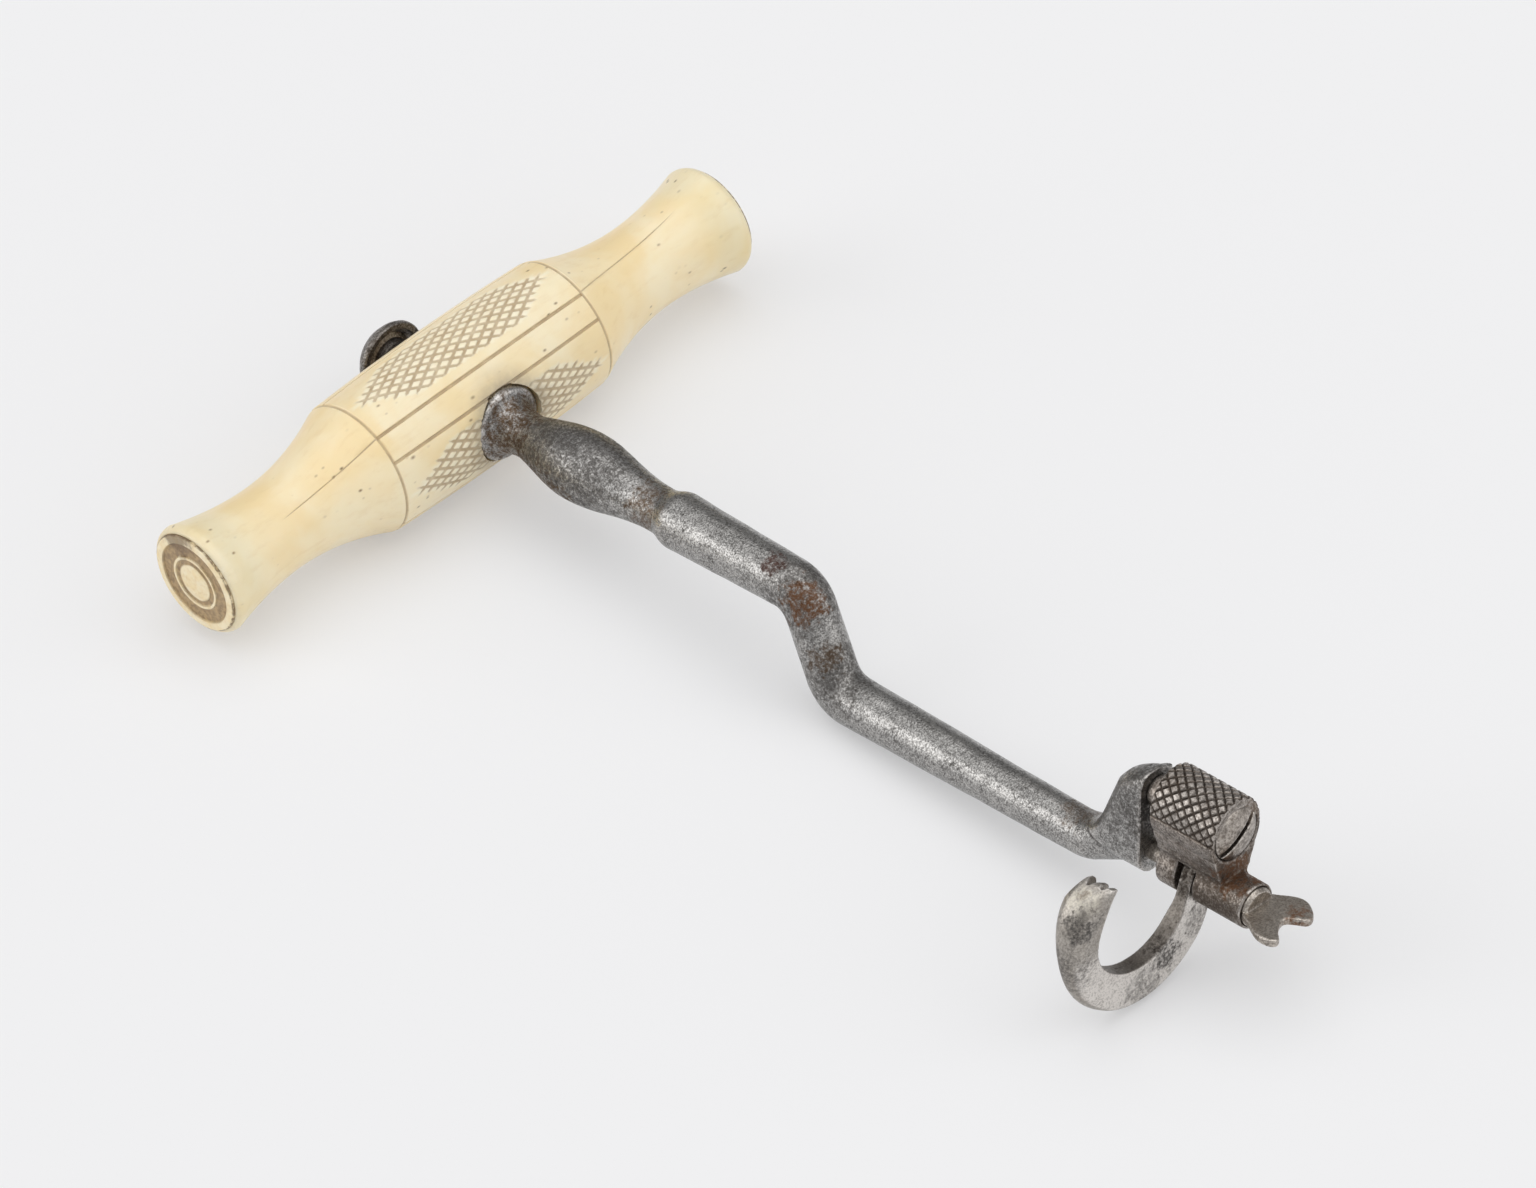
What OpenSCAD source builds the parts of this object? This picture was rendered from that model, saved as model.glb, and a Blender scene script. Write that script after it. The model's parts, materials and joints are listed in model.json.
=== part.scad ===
// Dental key (tooth key): a bone T handle, a cranked steel shank and a checkered
// bolster block that carries a swinging claw on a thumb-turned screw.
// Millimetres. X runs along the handle, Y along the shank toward the head, Z up.
// The key lies on its handle barrel and on the lower bend of its crank.

/* [Handle] */
// Length of the handle between its two plug joints
handle_len = 95; // [90:0.5:110]
// Radius of the barrel at the middle of the handle
handle_mid_r = 10.1; // [9.6:0.1:11.5]
// How much thinner the barrel is at its ring grooves
barrel_drop = 0.45; // [0.2:0.05:0.9]
// Radius at the thinnest part of each waist
waist_r = 6.25; // [5.6:0.05:7]
// Radius of the rounded rim at each end
end_rim_r = 8.0; // [7.7:0.1:8.6]
// Distance from the middle to the ring groove that ends the barrel
ring_x = 18.8; // [16:0.1:22]
// Distance from the middle to the thinnest part of a waist
waist_x = 34; // [31:0.5:37]
// Depth of the incised lines
line_depth = 0.3; // [0.15:0.05:0.5]
// Width of the incised lines
line_w = 0.5; // [0.3:0.05:0.8]
// Angle of the first plain band, measured from the shank's side upward
band_angle = 43.5; // [35:0.5:55]
// Half the angle that a plain band takes up
band_half = 12; // [9:0.5:16]

/* [End plugs] */
// Radius of a plug's face
plug_r = 7.25; // [6.9:0.05:7.4]
// How far a plug stands out of the handle
plug_proud = 0.4; // [0.3:0.05:0.8]
// Radius of the spigot that closes the marrow bore
spigot_r = 6.05; // [5:0.05:6.2]
// Length of the spigot
spigot_len = 4.2; // [3:0.1:5]
// Radius of the button turned at the middle of a plug
button_r = 2.8; // [2:0.1:3.2]

/* [Tang and rear knob] */
// Radius of the tang that crosses the handle
tang_r = 2.0; // [1.6:0.1:2.4]
// Depth of the flat that the collar bears on, under the top of the barrel
collar_sink = 2.0; // [1.9:0.1:2.6]
// Depth of the flat that the knob bears on, under the top of the barrel
knob_sink = 0.8; // [0.5:0.1:1.2]
// Radius of the knob's hub
hub_r = 3.0; // [2.8:0.1:3.4]
// Radius of the knob's rim
knob_r = 5.3; // [4.8:0.1:6]
// Distance from the handle axis to the knob's rim
knob_rim = 12.6; // [12:0.1:13.2]
// Distance from the handle axis to the back of the knob
knob_end = 15.5; // [15.2:0.1:17]

/* [Shank] */
// Radius of the collar that seats on the handle
collar_r = 5.3; // [4.8:0.1:6]
// Thickness of the collar
collar_t = 1.45; // [1.2:0.05:2]
// Radius of the neck in front of the collar
neck_r = 3.1; // [2.8:0.1:3.5]
// Distance from the handle axis to that neck
neck_y = 13.9; // [13:0.1:15]
// Radius of the baluster swelling
bulb_r = 4.97; // [4.2:0.01:5.6]
// Distance from the handle axis to the swelling
bulb_y = 23.6; // [21:0.2:26]
// Radius of the thin turned neck after the swelling
thin_r = 3.2; // [2.9:0.1:3.5]
// Distance from the handle axis to the thin neck
thin_y = 37; // [35:0.2:39]
// Radius of the bar where it steps up again
step_r = 3.98; // [3.7:0.01:4.4]
// Radius of the bar through the crank
bar_r = 3.5; // [3.2:0.05:3.8]
// Distance from the handle axis to the first bend
crank_y = 63.9; // [58:0.1:70]
// How far the crank drops the bar
crank_drop = 12.8; // [11:0.1:13.5]
// Angle of the crank to the bar
crank_angle = 64; // [50:1:75]
// Radius of the two bends, along the middle of the bar
bend_r = 4.4; // [4:0.1:5.5]
// Radius of the bar at the foot of the post
foot_r = 3.0; // [2.8:0.05:3.3]

/* [Post and bolster block] */
// Turn of the head about the shank, as the handle is clamped on its tang
head_turn = -8; // [-15:0.5:15]
// Distance from the handle axis to the face of the post
post_y = 125.3; // [122:0.1:130]
// Width of the post
post_w = 5.5; // [5:0.1:6]
// Height of the post's top edge over the shank axis
post_top = 2.6; // [2.2:0.1:4]
// Distance from the shank axis down to the claw's screw
tube_drop = 9.3; // [9:0.1:10]
// Gap between the post and the bolster block
post_gap = 2.6; // [2:0.1:3.4]
// Radius of the checkered barrel
barrel_r = 5.1; // [4.9:0.05:5.5]
// Length of the checkered barrel
barrel_len = 10.5; // [9.6:0.1:12]
// Width of the neck where it meets the tube
web_w = 4.4; // [4:0.1:5]
// Radius of the tube that carries the claw
tube_r = 3.1; // [2.9:0.05:3.4]
// How far the tube runs past the barrel
tube_past = 3.6; // [3:0.1:5]

/* [Claw] */
// Distance from the back of the bolster block to the middle of the claw
claw_in = 4.6; // [4.2:0.05:5]
// Thickness of the claw
claw_t = 2.6; // [2:0.1:2.8]
// Width of the toothed tip
tip_w = 5.4; // [4.2:0.1:6]
// Height of the tip over the claw's screw
tip_z = 8.5; // [7:0.1:9.5]
// Radius of the claw's outer curve
claw_out_r = 13.55; // [13.2:0.05:14.2]
// Radius of the claw's inner curve
claw_in_r = 8.9; // [8.4:0.1:9.2]
// Crown of the claw's outer face
claw_crown = 3.2; // [3:0.1:5]
// Radius of the claw's eye
eye_r = 2.7; // [2.4:0.05:2.9]

/* [Screws] */
// Radius of the claw screw
stem_r = 1.4; // [1.1:0.05:1.6]
// Radius of the bolster screw
screw_r = 1.9; // [1.6:0.05:2.1]
// Radius of the bolster screw's head
head_r = 3.7; // [3.4:0.05:3.8]
// Thickness of the bolster screw's head
head_t = 1.5; // [1.2:0.1:2]
// Width of the driving slot
slot_w = 0.6; // [0.5:0.05:0.9]
// Slope of the driving slot from the claw's side
slot_angle = -36; // [-90:1:90]
// Thickness of the fishtail thumb piece
tail_t = 1.1; // [0.9:0.1:1.5]
// Half width of the fishtail
tail_half = 4.8; // [4.3:0.1:5.6]
// Length of the fishtail past the tube
tail_len = 7.2; // [6.4:0.1:8]

/* [Fits] */
// Radial clearance of fixed shafts, spigots and threads
fit = 0.05; // [0.02:0.01:0.1]
// Clearance beside the claw in its slot
slot_clear = 0.2; // [0.15:0.05:0.4]
// Gap left between seated faces that turn on each other
seat_gap = 0.1; // [0.05:0.01:0.2]

/* [Hidden] */
$fn = 64;
bone = "#dcd3bd";
steel = "#77736d";
dark = "#5e5b57";

half_len = handle_len / 2;
collar_seat = handle_mid_r - collar_sink;
knob_seat = handle_mid_r - knob_sink;
rim_x = half_len - 1.2;
joint_r = plug_r + 0.05;
collar_front = collar_seat + collar_t;
bend_tan = bend_r * tan(crank_angle / 2);
bend2_y = crank_y + crank_drop / tan(crank_angle);
rod_len = crank_drop / sin(crank_angle) - 2 * bend_tan;
bar_end_y = post_y - 11.3;
lobe_r = post_w / 2;
lobe_len = 3.2;
// The post's back, from its face: depth and fall of the crown, then the sweep's reach
crown_y = 3.6;
crown_z = 4.2;
sweep_y = 7.9;
rise_angle = atan2(crank_drop - tube_drop, post_y - lobe_len - bar_end_y);
rise_len = norm([crank_drop - tube_drop, post_y - lobe_len - bar_end_y]);
foot_bend = 7;
// A bend is forged a hair thicker than the bars that run this far into it
swell = 0.03;
lap = 0.4;
foot_tan = foot_bend * tan(rise_angle / 2);
block_y = post_y + post_gap;
block_end = block_y + barrel_len;
tube_end = block_end + tube_past;
claw_y = block_y + claw_in;
claw_slot = claw_t + 2 * slot_clear;
ring_cut_r = tube_r + 0.3;
// Centres of the claw's two curves, seen from its screw: each curve passes the eye at a set distance
out_x = claw_out_r - eye_r + 0.45;
out_z = 0.6;
in_x = claw_in_r + eye_r - 0.1;
in_z = 1.5;
// The arch between the two curves is open above the screw, from behind the eye to this side of the tip
gate_x = in_x - 2.5;
// Sunk seat at the tube's end, where the claw screw's shoulder turns
shoulder_r = tube_r - 0.45;
shoulder_in = 0.8;
thread_in = 2.8;
screw_in = 2.6;
face_in = 0.15;

// The lie of the key on a table: it touches with the middle of the handle barrel
// and with the crown of the claw or the second bend, whichever comes down first.
function lie_on(y, z, r) = acos((handle_mid_r - r) / norm([y, z])) - atan2(y, -z);
claw_z = (out_z - tube_drop) * cos(head_turn) - out_x * sin(head_turn)
       - (claw_out_r - claw_crown);
bend_z = (bend_r - crank_drop) * cos(head_turn);
lie = max(lie_on(claw_y, claw_z, claw_crown),
          lie_on(bend2_y + bend_tan, bend_z, bend_r * cos(head_turn) + bar_r + swell));

// Outline of the fishtail from its root, as [side, along]
tail_shape = [
    [-2.3, 0.3], [-tail_half * 0.78, tail_len * 0.18], [-tail_half, tail_len * 0.42],
    [-tail_half * 0.96, tail_len * 0.62], [-tail_half * 0.7, tail_len * 0.88],
    [-tail_half * 0.4, tail_len], [0, tail_len * 0.7], [tail_half * 0.25, tail_len * 0.71],
    [tail_half * 0.7, tail_len], [tail_half * 0.95, tail_len * 0.93],
    [tail_half, tail_len * 0.64], [tail_half * 0.62, tail_len * 0.24], [2.3, 0.3]];

// Length of the whole key, front and back, once it lies down
far_y = max([for (p = tail_shape) (tube_end + p[1]) * cos(lie)
    + (p[0] * sin(head_turn) + (tube_drop + tail_t / 2) * cos(head_turn)) * sin(lie)]);
near_y = -knob_end * cos(lie) - (knob_r - 2.4) * sin(lie);
mid_y = (far_y + near_y) / 2;

// Places what is drawn about the crossing of handle and shank
module key() translate([0, -mid_y, handle_mid_r]) rotate([lie, 0, 0]) children();

// The same for the head, which is turned with the tang
module head() key() rotate([0, head_turn, 0]) children();

// Lathe work along X and along Y, from [radius, distance] points
module lathe_x(pts) rotate([0, 90, 0]) rotate_extrude() polygon(pts);
module lathe_y(pts) rotate([-90, 0, 0]) rotate_extrude() polygon(pts);

module rod_y(y0, y1, r) translate([0, y0, 0]) rotate([-90, 0, 0]) cylinder(h = y1 - y0, r = r);
module cone_y(y0, y1, r0, r1) translate([0, y0, 0]) rotate([-90, 0, 0])
    cylinder(h = y1 - y0, r1 = r0, r2 = r1);

// Extrudes a side view in Y and Z across the width w
module side_y(w) rotate([90, 0, 90]) translate([0, 0, -w / 2]) linear_extrude(w) children();

// Extrudes a front view in X and Z from y0 to y1
module front_y(y0, y1) translate([0, y1, 0]) rotate([90, 0, 0])
    linear_extrude(y1 - y0) children();

function barrel_at(x) = handle_mid_r - barrel_drop * pow(x / ring_x, 2);
function neck_at(t) = waist_r + (barrel_at(ring_x) - waist_r) * pow(1 - t, 2);
function flare_at(t) = waist_r + (end_rim_r - waist_r) * pow(t, 1.9);

// Half of the handle's profile, from the middle outward, d under the surface
function half_profile(d) = concat(
    [for (k = [0:4]) let (x = ring_x * k / 5) [barrel_at(x) - d, x]],
    [[barrel_at(ring_x - line_w / 2) - d, ring_x - line_w / 2],
     [barrel_at(ring_x) - line_depth - d, ring_x],
     [neck_at(0.02) - d, ring_x + line_w / 2]],
    [for (k = [1:7]) let (t = k / 7) [neck_at(t) - d, ring_x + (waist_x - ring_x) * t]],
    [for (k = [1:7]) let (t = k / 7) [flare_at(t) - d, waist_x + (rim_x - waist_x) * t]],
    [for (k = [1:4]) [joint_r + (end_rim_r - joint_r) * cos(k * 22.5) - d,
                      rim_x + (half_len - rim_x) * sin(k * 22.5)]]);

module handle_solid(d = 0) {
    side = half_profile(d);
    n = len(side);
    lathe_x(concat([[0, -half_len]],
        [for (k = [n - 1:-1:1]) [side[k][0], -side[k][1]]],
        side, [[0, half_len]]));
}

// Side view of one incised line, from just under the barrel's surface outward
line_end = ring_x - 0.3 * line_w;
module line_view() polygon(concat(
    [for (k = [-2:2]) let (x = line_end * k / 2) [x, barrel_at(x) - line_depth]],
    [[line_end, handle_mid_r + 1], [-line_end, handle_mid_r + 1]]));

// The lines that bound the four plain bands
module band_lines()
    for (k = [0:3])
        for (s = [-1, 1])
            rotate([band_angle + s * band_half + 90 * k, 0, 0])
                translate([0, 0, -line_w / 2]) linear_extrude(line_w) line_view();

module handle() color(bone) key() difference() {
    handle_solid();
    band_lines();
    rod_y(-handle_mid_r - 1, handle_mid_r + 1, tang_r + fit);
    rod_y(collar_seat, handle_mid_r + 1, collar_r + 0.2);
    rod_y(-handle_mid_r - 1, -knob_seat, hub_r + 0.3);
    for (s = [-1, 1])
        translate([s * (half_len - spigot_len - 0.3), 0, 0]) rotate([0, s * 90, 0])
            cylinder(h = spigot_len + 1.3, r = spigot_r + fit);
}

// A turned plug with its spigot inward along -X and its face outward
module plug() {
    p = plug_proud;
    lathe_x([[0, -spigot_len], [spigot_r, -spigot_len], [spigot_r, 0], [plug_r, 0],
        [plug_r, p * 0.6], [plug_r - 0.25, p], [6.05, p], [5.85, face_in], [4.05, face_in],
        [3.95, p * 0.8], [3.6, p * 0.8], [3.5, face_in], [button_r + 0.1, face_in],
        [button_r, p * 0.6], [button_r * 0.6, p * 0.95], [0, p]]);
}

module left_end_plug() color(bone) key() translate([half_len, 0, 0]) plug();

module right_end_plug() color(bone) key() mirror([1, 0, 0]) translate([half_len, 0, 0]) plug();

// The turned part of the shank: collar, neck, baluster, thin neck and step
function bulb_in(t) = neck_r + (bulb_r - neck_r) * sin(90 * pow(t, 1.15));
function bulb_out(t) = thin_r + (bulb_r - thin_r) * (1 + cos(180 * t)) / 2;

module turned() lathe_y(concat(
    [[0, collar_seat], [collar_r, collar_seat], [collar_r, collar_front - 0.25],
     [collar_r - 0.25, collar_front]],
    [for (k = [1:5]) let (a = k * 18)
        [neck_r + (collar_r - 0.5 - neck_r) * (1 - sin(a)),
         neck_y - (neck_y - collar_front - 0.05) * cos(a)]],
    [for (k = [1:7]) [bulb_in(k / 7), neck_y + (bulb_y - neck_y) * k / 7]],
    [for (k = [1:8]) [bulb_out(k / 8), bulb_y + (thin_y - bulb_y) * k / 8]],
    [[thin_r, thin_y + 1.5]],
    [for (k = [1:4]) [thin_r + (step_r - thin_r) * (1 - cos(45 * k)) / 2,
                      thin_y + 1.5 + 0.75 * k]],
    [[bar_r, crank_y - bend_tan + lap], [0, crank_y - bend_tan + lap]]));

// A bend in a round bar of radius r that heads along +Y and turns down by the angle a
module bend_down(a, rad, r) translate([0, 0, -rad]) rotate([0, -90, 0])
    rotate_extrude(angle = a) translate([rad, 0]) circle(r = r + swell);

module crank() translate([0, crank_y - bend_tan, 0]) {
    bend_down(crank_angle, bend_r, bar_r);
    translate([0, bend_r * sin(crank_angle), bend_r * (cos(crank_angle) - 1)])
        rotate([-crank_angle, 0, 0]) {
            rod_y(-lap, rod_len + lap, bar_r);
            translate([0, rod_len, 0]) mirror([0, 0, 1])
                bend_down(crank_angle, bend_r, bar_r);
        }
}

// Side view of the post: flat face, rounded crown and a back that sweeps into the bar
module post_side() polygon(concat(
    [[post_y, -tube_drop - lobe_r - 1], [post_y, post_top]],
    [for (k = [1:6]) let (a = k * 15)
        [post_y - crown_y * sin(a), post_top - crown_z * pow(1 - cos(a), 0.85)]],
    [for (k = [1:7]) let (t = k / 7)
        [post_y - crown_y - (sweep_y - crown_y) * pow(t, 2.2),
         post_top - crown_z - (crank_drop - foot_r + post_top - crown_z) * sin(90 * t)]],
    [[bar_end_y, -crank_drop], [post_y - lobe_len, -tube_drop - lobe_r - 1]]));

module post() {
    intersection() {
        side_y(post_w) post_side();
        front_y(bar_end_y - 2, post_y) {
            translate([0, -tube_drop]) circle(r = lobe_r);
            translate([-lobe_r, -tube_drop]) square([post_w, tube_drop + post_top + 2]);
        }
    }
    // the bar's end, drawn up into the lobe
    translate([0, bar_end_y - foot_tan, -crank_drop]) mirror([0, 0, 1])
        bend_down(rise_angle, foot_bend, foot_r);
    translate([0, bar_end_y, -crank_drop]) rotate([rise_angle, 0, 0])
        cone_y(foot_tan - lap, rise_len, foot_r, lobe_r - 0.1);
}

module shank() color(steel) head() difference() {
    union() {
        rod_y(-knob_end + 1.4, collar_seat + 0.5, tang_r);
        turned();
        crank();
        translate([0, 0, -crank_drop])
            cone_y(bend2_y + bend_tan - lap, bar_end_y - foot_tan + lap, bar_r, foot_r);
        post();
    }
    rod_y(post_y - screw_in - 0.2, post_y + 1, screw_r + fit);
    translate([0, 0, -tube_drop]) rod_y(post_y - thread_in, post_y + 1, stem_r + fit);
}

// Rear knob: a hub that bears on the handle and a rim dished toward it
module knob_nut() color(steel) key() rotate([0, 0, 180]) difference() {
    lathe_y([[0, knob_seat + seat_gap], [hub_r, knob_seat + seat_gap],
        [hub_r - 0.2, knob_rim - 0.6], [hub_r, knob_rim + 0.5], [hub_r + 0.6, knob_rim + 0.9],
        [knob_r - 1.1, knob_rim + 0.4], [knob_r - 0.9, knob_rim], [knob_r - 0.15, knob_rim],
        [knob_r, knob_rim + 0.2], [knob_r, knob_rim + 0.7], [knob_r - 0.35, knob_rim + 1.3],
        [knob_r - 1.2, knob_end - 0.7], [knob_r - 2.4, knob_end], [0, knob_end]]);
    rod_y(0, knob_end - 1.3, tang_r + fit);
}

// Front view of the bolster block between its barrel and its tube
module web_view() difference() {
    polygon([[-barrel_r * 0.93, -1.6], [-barrel_r * 0.78, -3.5], [-web_w * 0.68, -5.2],
        [-web_w / 2, -tube_drop], [web_w / 2, -tube_drop],
        [web_w * 0.68, -5.2], [barrel_r * 0.78, -3.5], [barrel_r * 0.93, -1.6]]);
    for (s = [-1, 1])
        translate([s * (web_w / 2 + 1.4), tube_r - tube_drop - 0.6]) circle(r = 1.2);
}

module bolster_block() color(steel) head() difference() {
    union() {
        lathe_y([[0, block_y], [barrel_r - 0.4, block_y], [barrel_r, block_y + 0.4],
            [barrel_r, block_end - 0.4], [barrel_r - 0.4, block_end], [0, block_end]]);
        rod_y(post_y, block_y + 1, head_r - 0.3);
        front_y(block_y, block_end) web_view();
        translate([0, 0, -tube_drop]) rod_y(block_y, tube_end, tube_r);
    }
    rod_y(post_y - 1, block_end + 1, screw_r + fit);
    rod_y(block_end - head_t, block_end + 1, head_r + fit);
    translate([0, 0, -tube_drop]) {
        rod_y(block_y - 1, tube_end + 1, stem_r + fit);
        rod_y(claw_y - claw_slot / 2, claw_y + claw_slot / 2, ring_cut_r);
        rod_y(tube_end - shoulder_in, tube_end + 1, shoulder_r + fit);
    }
}

module bolster_screw() color(dark) head() difference() {
    lathe_y([[0, post_y - screw_in], [screw_r, post_y - screw_in], [screw_r, block_end - head_t],
        [head_r, block_end - head_t], for (k = [0:5]) let (a = k * 18)
            [head_r * cos(a), block_end - 0.25 + 1.05 * sin(a)]]);
    rotate([0, -slot_angle, 0]) translate([-head_r - 1, block_end - 0.2, -slot_w / 2])
        cube([2 * head_r + 2, 2, slot_w]);
}

// Front view of the claw about its screw, with the hook toward +X
module claw_view() {
    difference() {
        translate([out_x, out_z]) circle(r = claw_out_r);
        translate([in_x, in_z]) circle(r = claw_in_r);
        translate([-eye_r, 0]) square([gate_x + eye_r, 2 * claw_out_r]);
        translate([gate_x - 1, tip_z]) square(2 * claw_out_r);
    }
    circle(r = eye_r);
}

module claw() color(steel) head() translate([0, claw_y, -tube_drop]) difference() {
    intersection() {
        front_y(-tip_w / 2, tip_w / 2) claw_view();
        union() {
            translate([-5, -claw_t / 2, -20]) cube([40, claw_t, 40]);
            // the blade widens from the turn of the hook to its teeth
            translate([out_x, 0, out_z]) rotate([0, 50, 0]) rotate([90, 0, 90])
                linear_extrude(20) polygon([[-claw_t / 2, 0], [claw_t / 2, 0],
                    [tip_w / 2, 11.5], [tip_w / 2, 24], [-tip_w / 2, 24], [-tip_w / 2, 11.5]]);
        }
        translate([out_x, 0, out_z]) lathe_y([[0, -claw_crown],
            [claw_out_r - claw_crown, -claw_crown],
            for (k = [1:11]) let (a = -90 + k * 15)
                [claw_out_r - claw_crown + claw_crown * cos(a), claw_crown * sin(a)],
            [claw_out_r - claw_crown, claw_crown], [0, claw_crown]]);
    }
    rod_y(-claw_t, claw_t, stem_r + fit);
    // two notches that leave three teeth
    for (s = [-1, 1])
        translate([in_x + 2.5, s * tip_w / 6, tip_z]) rotate([90, 0, 90])
            linear_extrude(14) polygon([[0, -1.3], [0.75, 0.1], [-0.75, 0.1]]);
}

module claw_screw() color(dark) head() translate([0, 0, -tube_drop]) {
    rod_y(post_y - thread_in + 0.4, tube_end - shoulder_in + 0.5, stem_r);
    lathe_y([[0, tube_end - shoulder_in + seat_gap], [shoulder_r, tube_end - shoulder_in + seat_gap],
        [shoulder_r, tube_end + 0.1], [shoulder_r - 0.5, tube_end + 0.8], [0, tube_end + 0.8]]);
    translate([0, tube_end, -tail_t / 2]) linear_extrude(tail_t) polygon(tail_shape);
}

handle();
left_end_plug();
right_end_plug();
shank();
knob_nut();
bolster_block();
bolster_screw();
claw();
claw_screw();
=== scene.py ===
import json
import math
from contextlib import contextmanager

import bpy
import numpy as np
from mathutils import Matrix, Vector


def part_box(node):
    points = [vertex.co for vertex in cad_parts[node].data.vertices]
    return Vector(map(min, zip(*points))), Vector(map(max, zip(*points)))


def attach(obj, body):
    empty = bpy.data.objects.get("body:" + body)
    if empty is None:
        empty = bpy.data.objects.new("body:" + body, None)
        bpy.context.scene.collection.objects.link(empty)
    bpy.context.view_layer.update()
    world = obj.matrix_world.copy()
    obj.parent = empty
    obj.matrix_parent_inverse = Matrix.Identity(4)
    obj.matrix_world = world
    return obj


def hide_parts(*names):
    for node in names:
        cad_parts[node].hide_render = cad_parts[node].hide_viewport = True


# The looks of an old dental key: each steel and bone piece is modelled over its solid from the frame,
# in millimetres about the crossing of handle and shank, and laid in its place last.

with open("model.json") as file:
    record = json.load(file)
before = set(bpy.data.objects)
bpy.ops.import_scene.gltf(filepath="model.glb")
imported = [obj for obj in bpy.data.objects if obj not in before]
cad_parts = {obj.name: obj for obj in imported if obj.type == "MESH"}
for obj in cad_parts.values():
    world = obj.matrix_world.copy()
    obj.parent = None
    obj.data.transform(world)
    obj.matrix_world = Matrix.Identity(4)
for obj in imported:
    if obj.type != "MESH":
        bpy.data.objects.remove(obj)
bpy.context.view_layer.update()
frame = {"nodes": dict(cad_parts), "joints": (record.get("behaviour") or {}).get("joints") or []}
nodes = frame["nodes"]

MM = 0.001

# The lie of the key, from the frame: the handle's box and the claw's pivot
claw_pivot = next(j for j in frame["joints"] if j["name"] == "claw_swing")
lie = math.atan2(claw_pivot["axis"][2], claw_pivot["axis"][1])
handle_low, handle_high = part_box("handle")
crossing = (handle_low + handle_high) / 2
KEY = Matrix.Translation(crossing) @ Matrix.Rotation(lie, 4, "X") @ Matrix.Scale(MM, 4)
pivot = KEY.inverted() @ Vector(claw_pivot["pos_m"])
head_turn = math.atan2(-pivot.x, -pivot.z)
HEAD = KEY @ Matrix.Rotation(head_turn, 4, "Y")

# The handle's outline; the rest of its sizes stand before its functions
HALF_LENGTH = (handle_high.x - handle_low.x) / 2 / MM
MID_R = (handle_high.z - handle_low.z) / 2 / MM
BARREL_DROP = 0.45
RING_X = 18.8
WAIST_X = 34.0
WAIST_R = 6.25
RIM_X = HALF_LENGTH - 1.2
RIM_R = 8.0
JOINT_R = 7.3
BORE_R = 6.1
BORE_DEPTH = 4.5

# The camera, as the photograph was taken, in millimetres in the key's own frame
PHOTO_W = 1536
SENSOR = 36.0
FOCAL_PX = 9061.2
CAMERA_RIGHT = Vector((-0.6973, 0.7098, -0.0999))
CAMERA_UP = Vector((-0.5167, -0.4012, 0.7563))
CAMERA_SHIFT = Vector((-40.69, 26.08))
CAMERA_AWAY = 1193.6


def add_camera():
    back = CAMERA_RIGHT.cross(CAMERA_UP).normalized()
    place = back * CAMERA_AWAY - CAMERA_RIGHT * CAMERA_SHIFT.x - CAMERA_UP * CAMERA_SHIFT.y
    turn = Matrix((CAMERA_RIGHT, CAMERA_UP, back)).transposed()
    tilt = Matrix.Rotation(lie, 3, "X")
    data = bpy.data.cameras.new("camera")
    data.sensor_width = SENSOR
    data.lens = FOCAL_PX * SENSOR / PHOTO_W
    data.clip_start, data.clip_end = 0.05, 20
    camera = bpy.data.objects.new("camera", data)
    bpy.context.scene.collection.objects.link(camera)
    camera.matrix_world = Matrix.Translation(KEY @ place) @ (tilt @ turn).to_4x4()
    bpy.context.scene.camera = camera


# Shader helpers
def feed(tree, socket, value):
    """Links a node's output to the socket, or sets the socket's constant."""
    if isinstance(value, bpy.types.NodeSocket):
        tree.links.new(value, socket)
    else:
        socket.default_value = value


def shader_node(tree, kind, sockets=(), **settings):
    made = tree.nodes.new(kind)
    for name, value in settings.items():
        setattr(made, name, value)
    for name, value in dict(sockets).items():
        feed(tree, made.inputs[name], value)
    return made


def mixed(tree, factor, a, b):
    """The colour a, turning to b where factor is 1."""
    made = shader_node(tree, "ShaderNodeMix", {0: factor}, data_type="RGBA")
    for index, colour in ((6, a), (7, b)):
        feed(tree, made.inputs[index], (*colour, 1) if isinstance(colour, tuple) else colour)
    return made.outputs[2]


def sums(tree, operation, a, b=0.0, clamp=False):
    made = shader_node(tree, "ShaderNodeMath", {0: a, 1: b}, operation=operation, use_clamp=clamp)
    return made.outputs[0]


def times(tree, a, b, clamp=False):
    return sums(tree, "MULTIPLY", a, b, clamp)


def plus(tree, a, b):
    return sums(tree, "ADD", a, b)


def minus(tree, a, b):
    return sums(tree, "SUBTRACT", a, b)


def measured(tree, operation, a, b=(0, 0, 0)):
    """One number from vectors: a distance, a length or a dot product."""
    return shader_node(tree, "ShaderNodeVectorMath", {0: a, 1: b}, operation=operation).outputs["Value"]


def tinted(tree, colour, mask, strength, tint):
    """The colour, turning toward the tint by mask times strength."""
    return mixed(tree, times(tree, mask, strength), colour, tint)


def between(tree, value, low, high):
    """0 where value is under low, 1 over high, and smooth between."""
    made = shader_node(tree, "ShaderNodeMapRange", {"Value": value, "From Min": low, "From Max": high},
                       interpolation_type="SMOOTHSTEP")
    return made.outputs["Result"]


def noise(tree, where, scale, detail=3.0, rough=0.5, distort=0.0):
    made = shader_node(tree, "ShaderNodeTexNoise", {
        "Vector": where, "Scale": scale, "Detail": detail, "Roughness": rough, "Distortion": distort})
    return made.outputs["Fac"]


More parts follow.
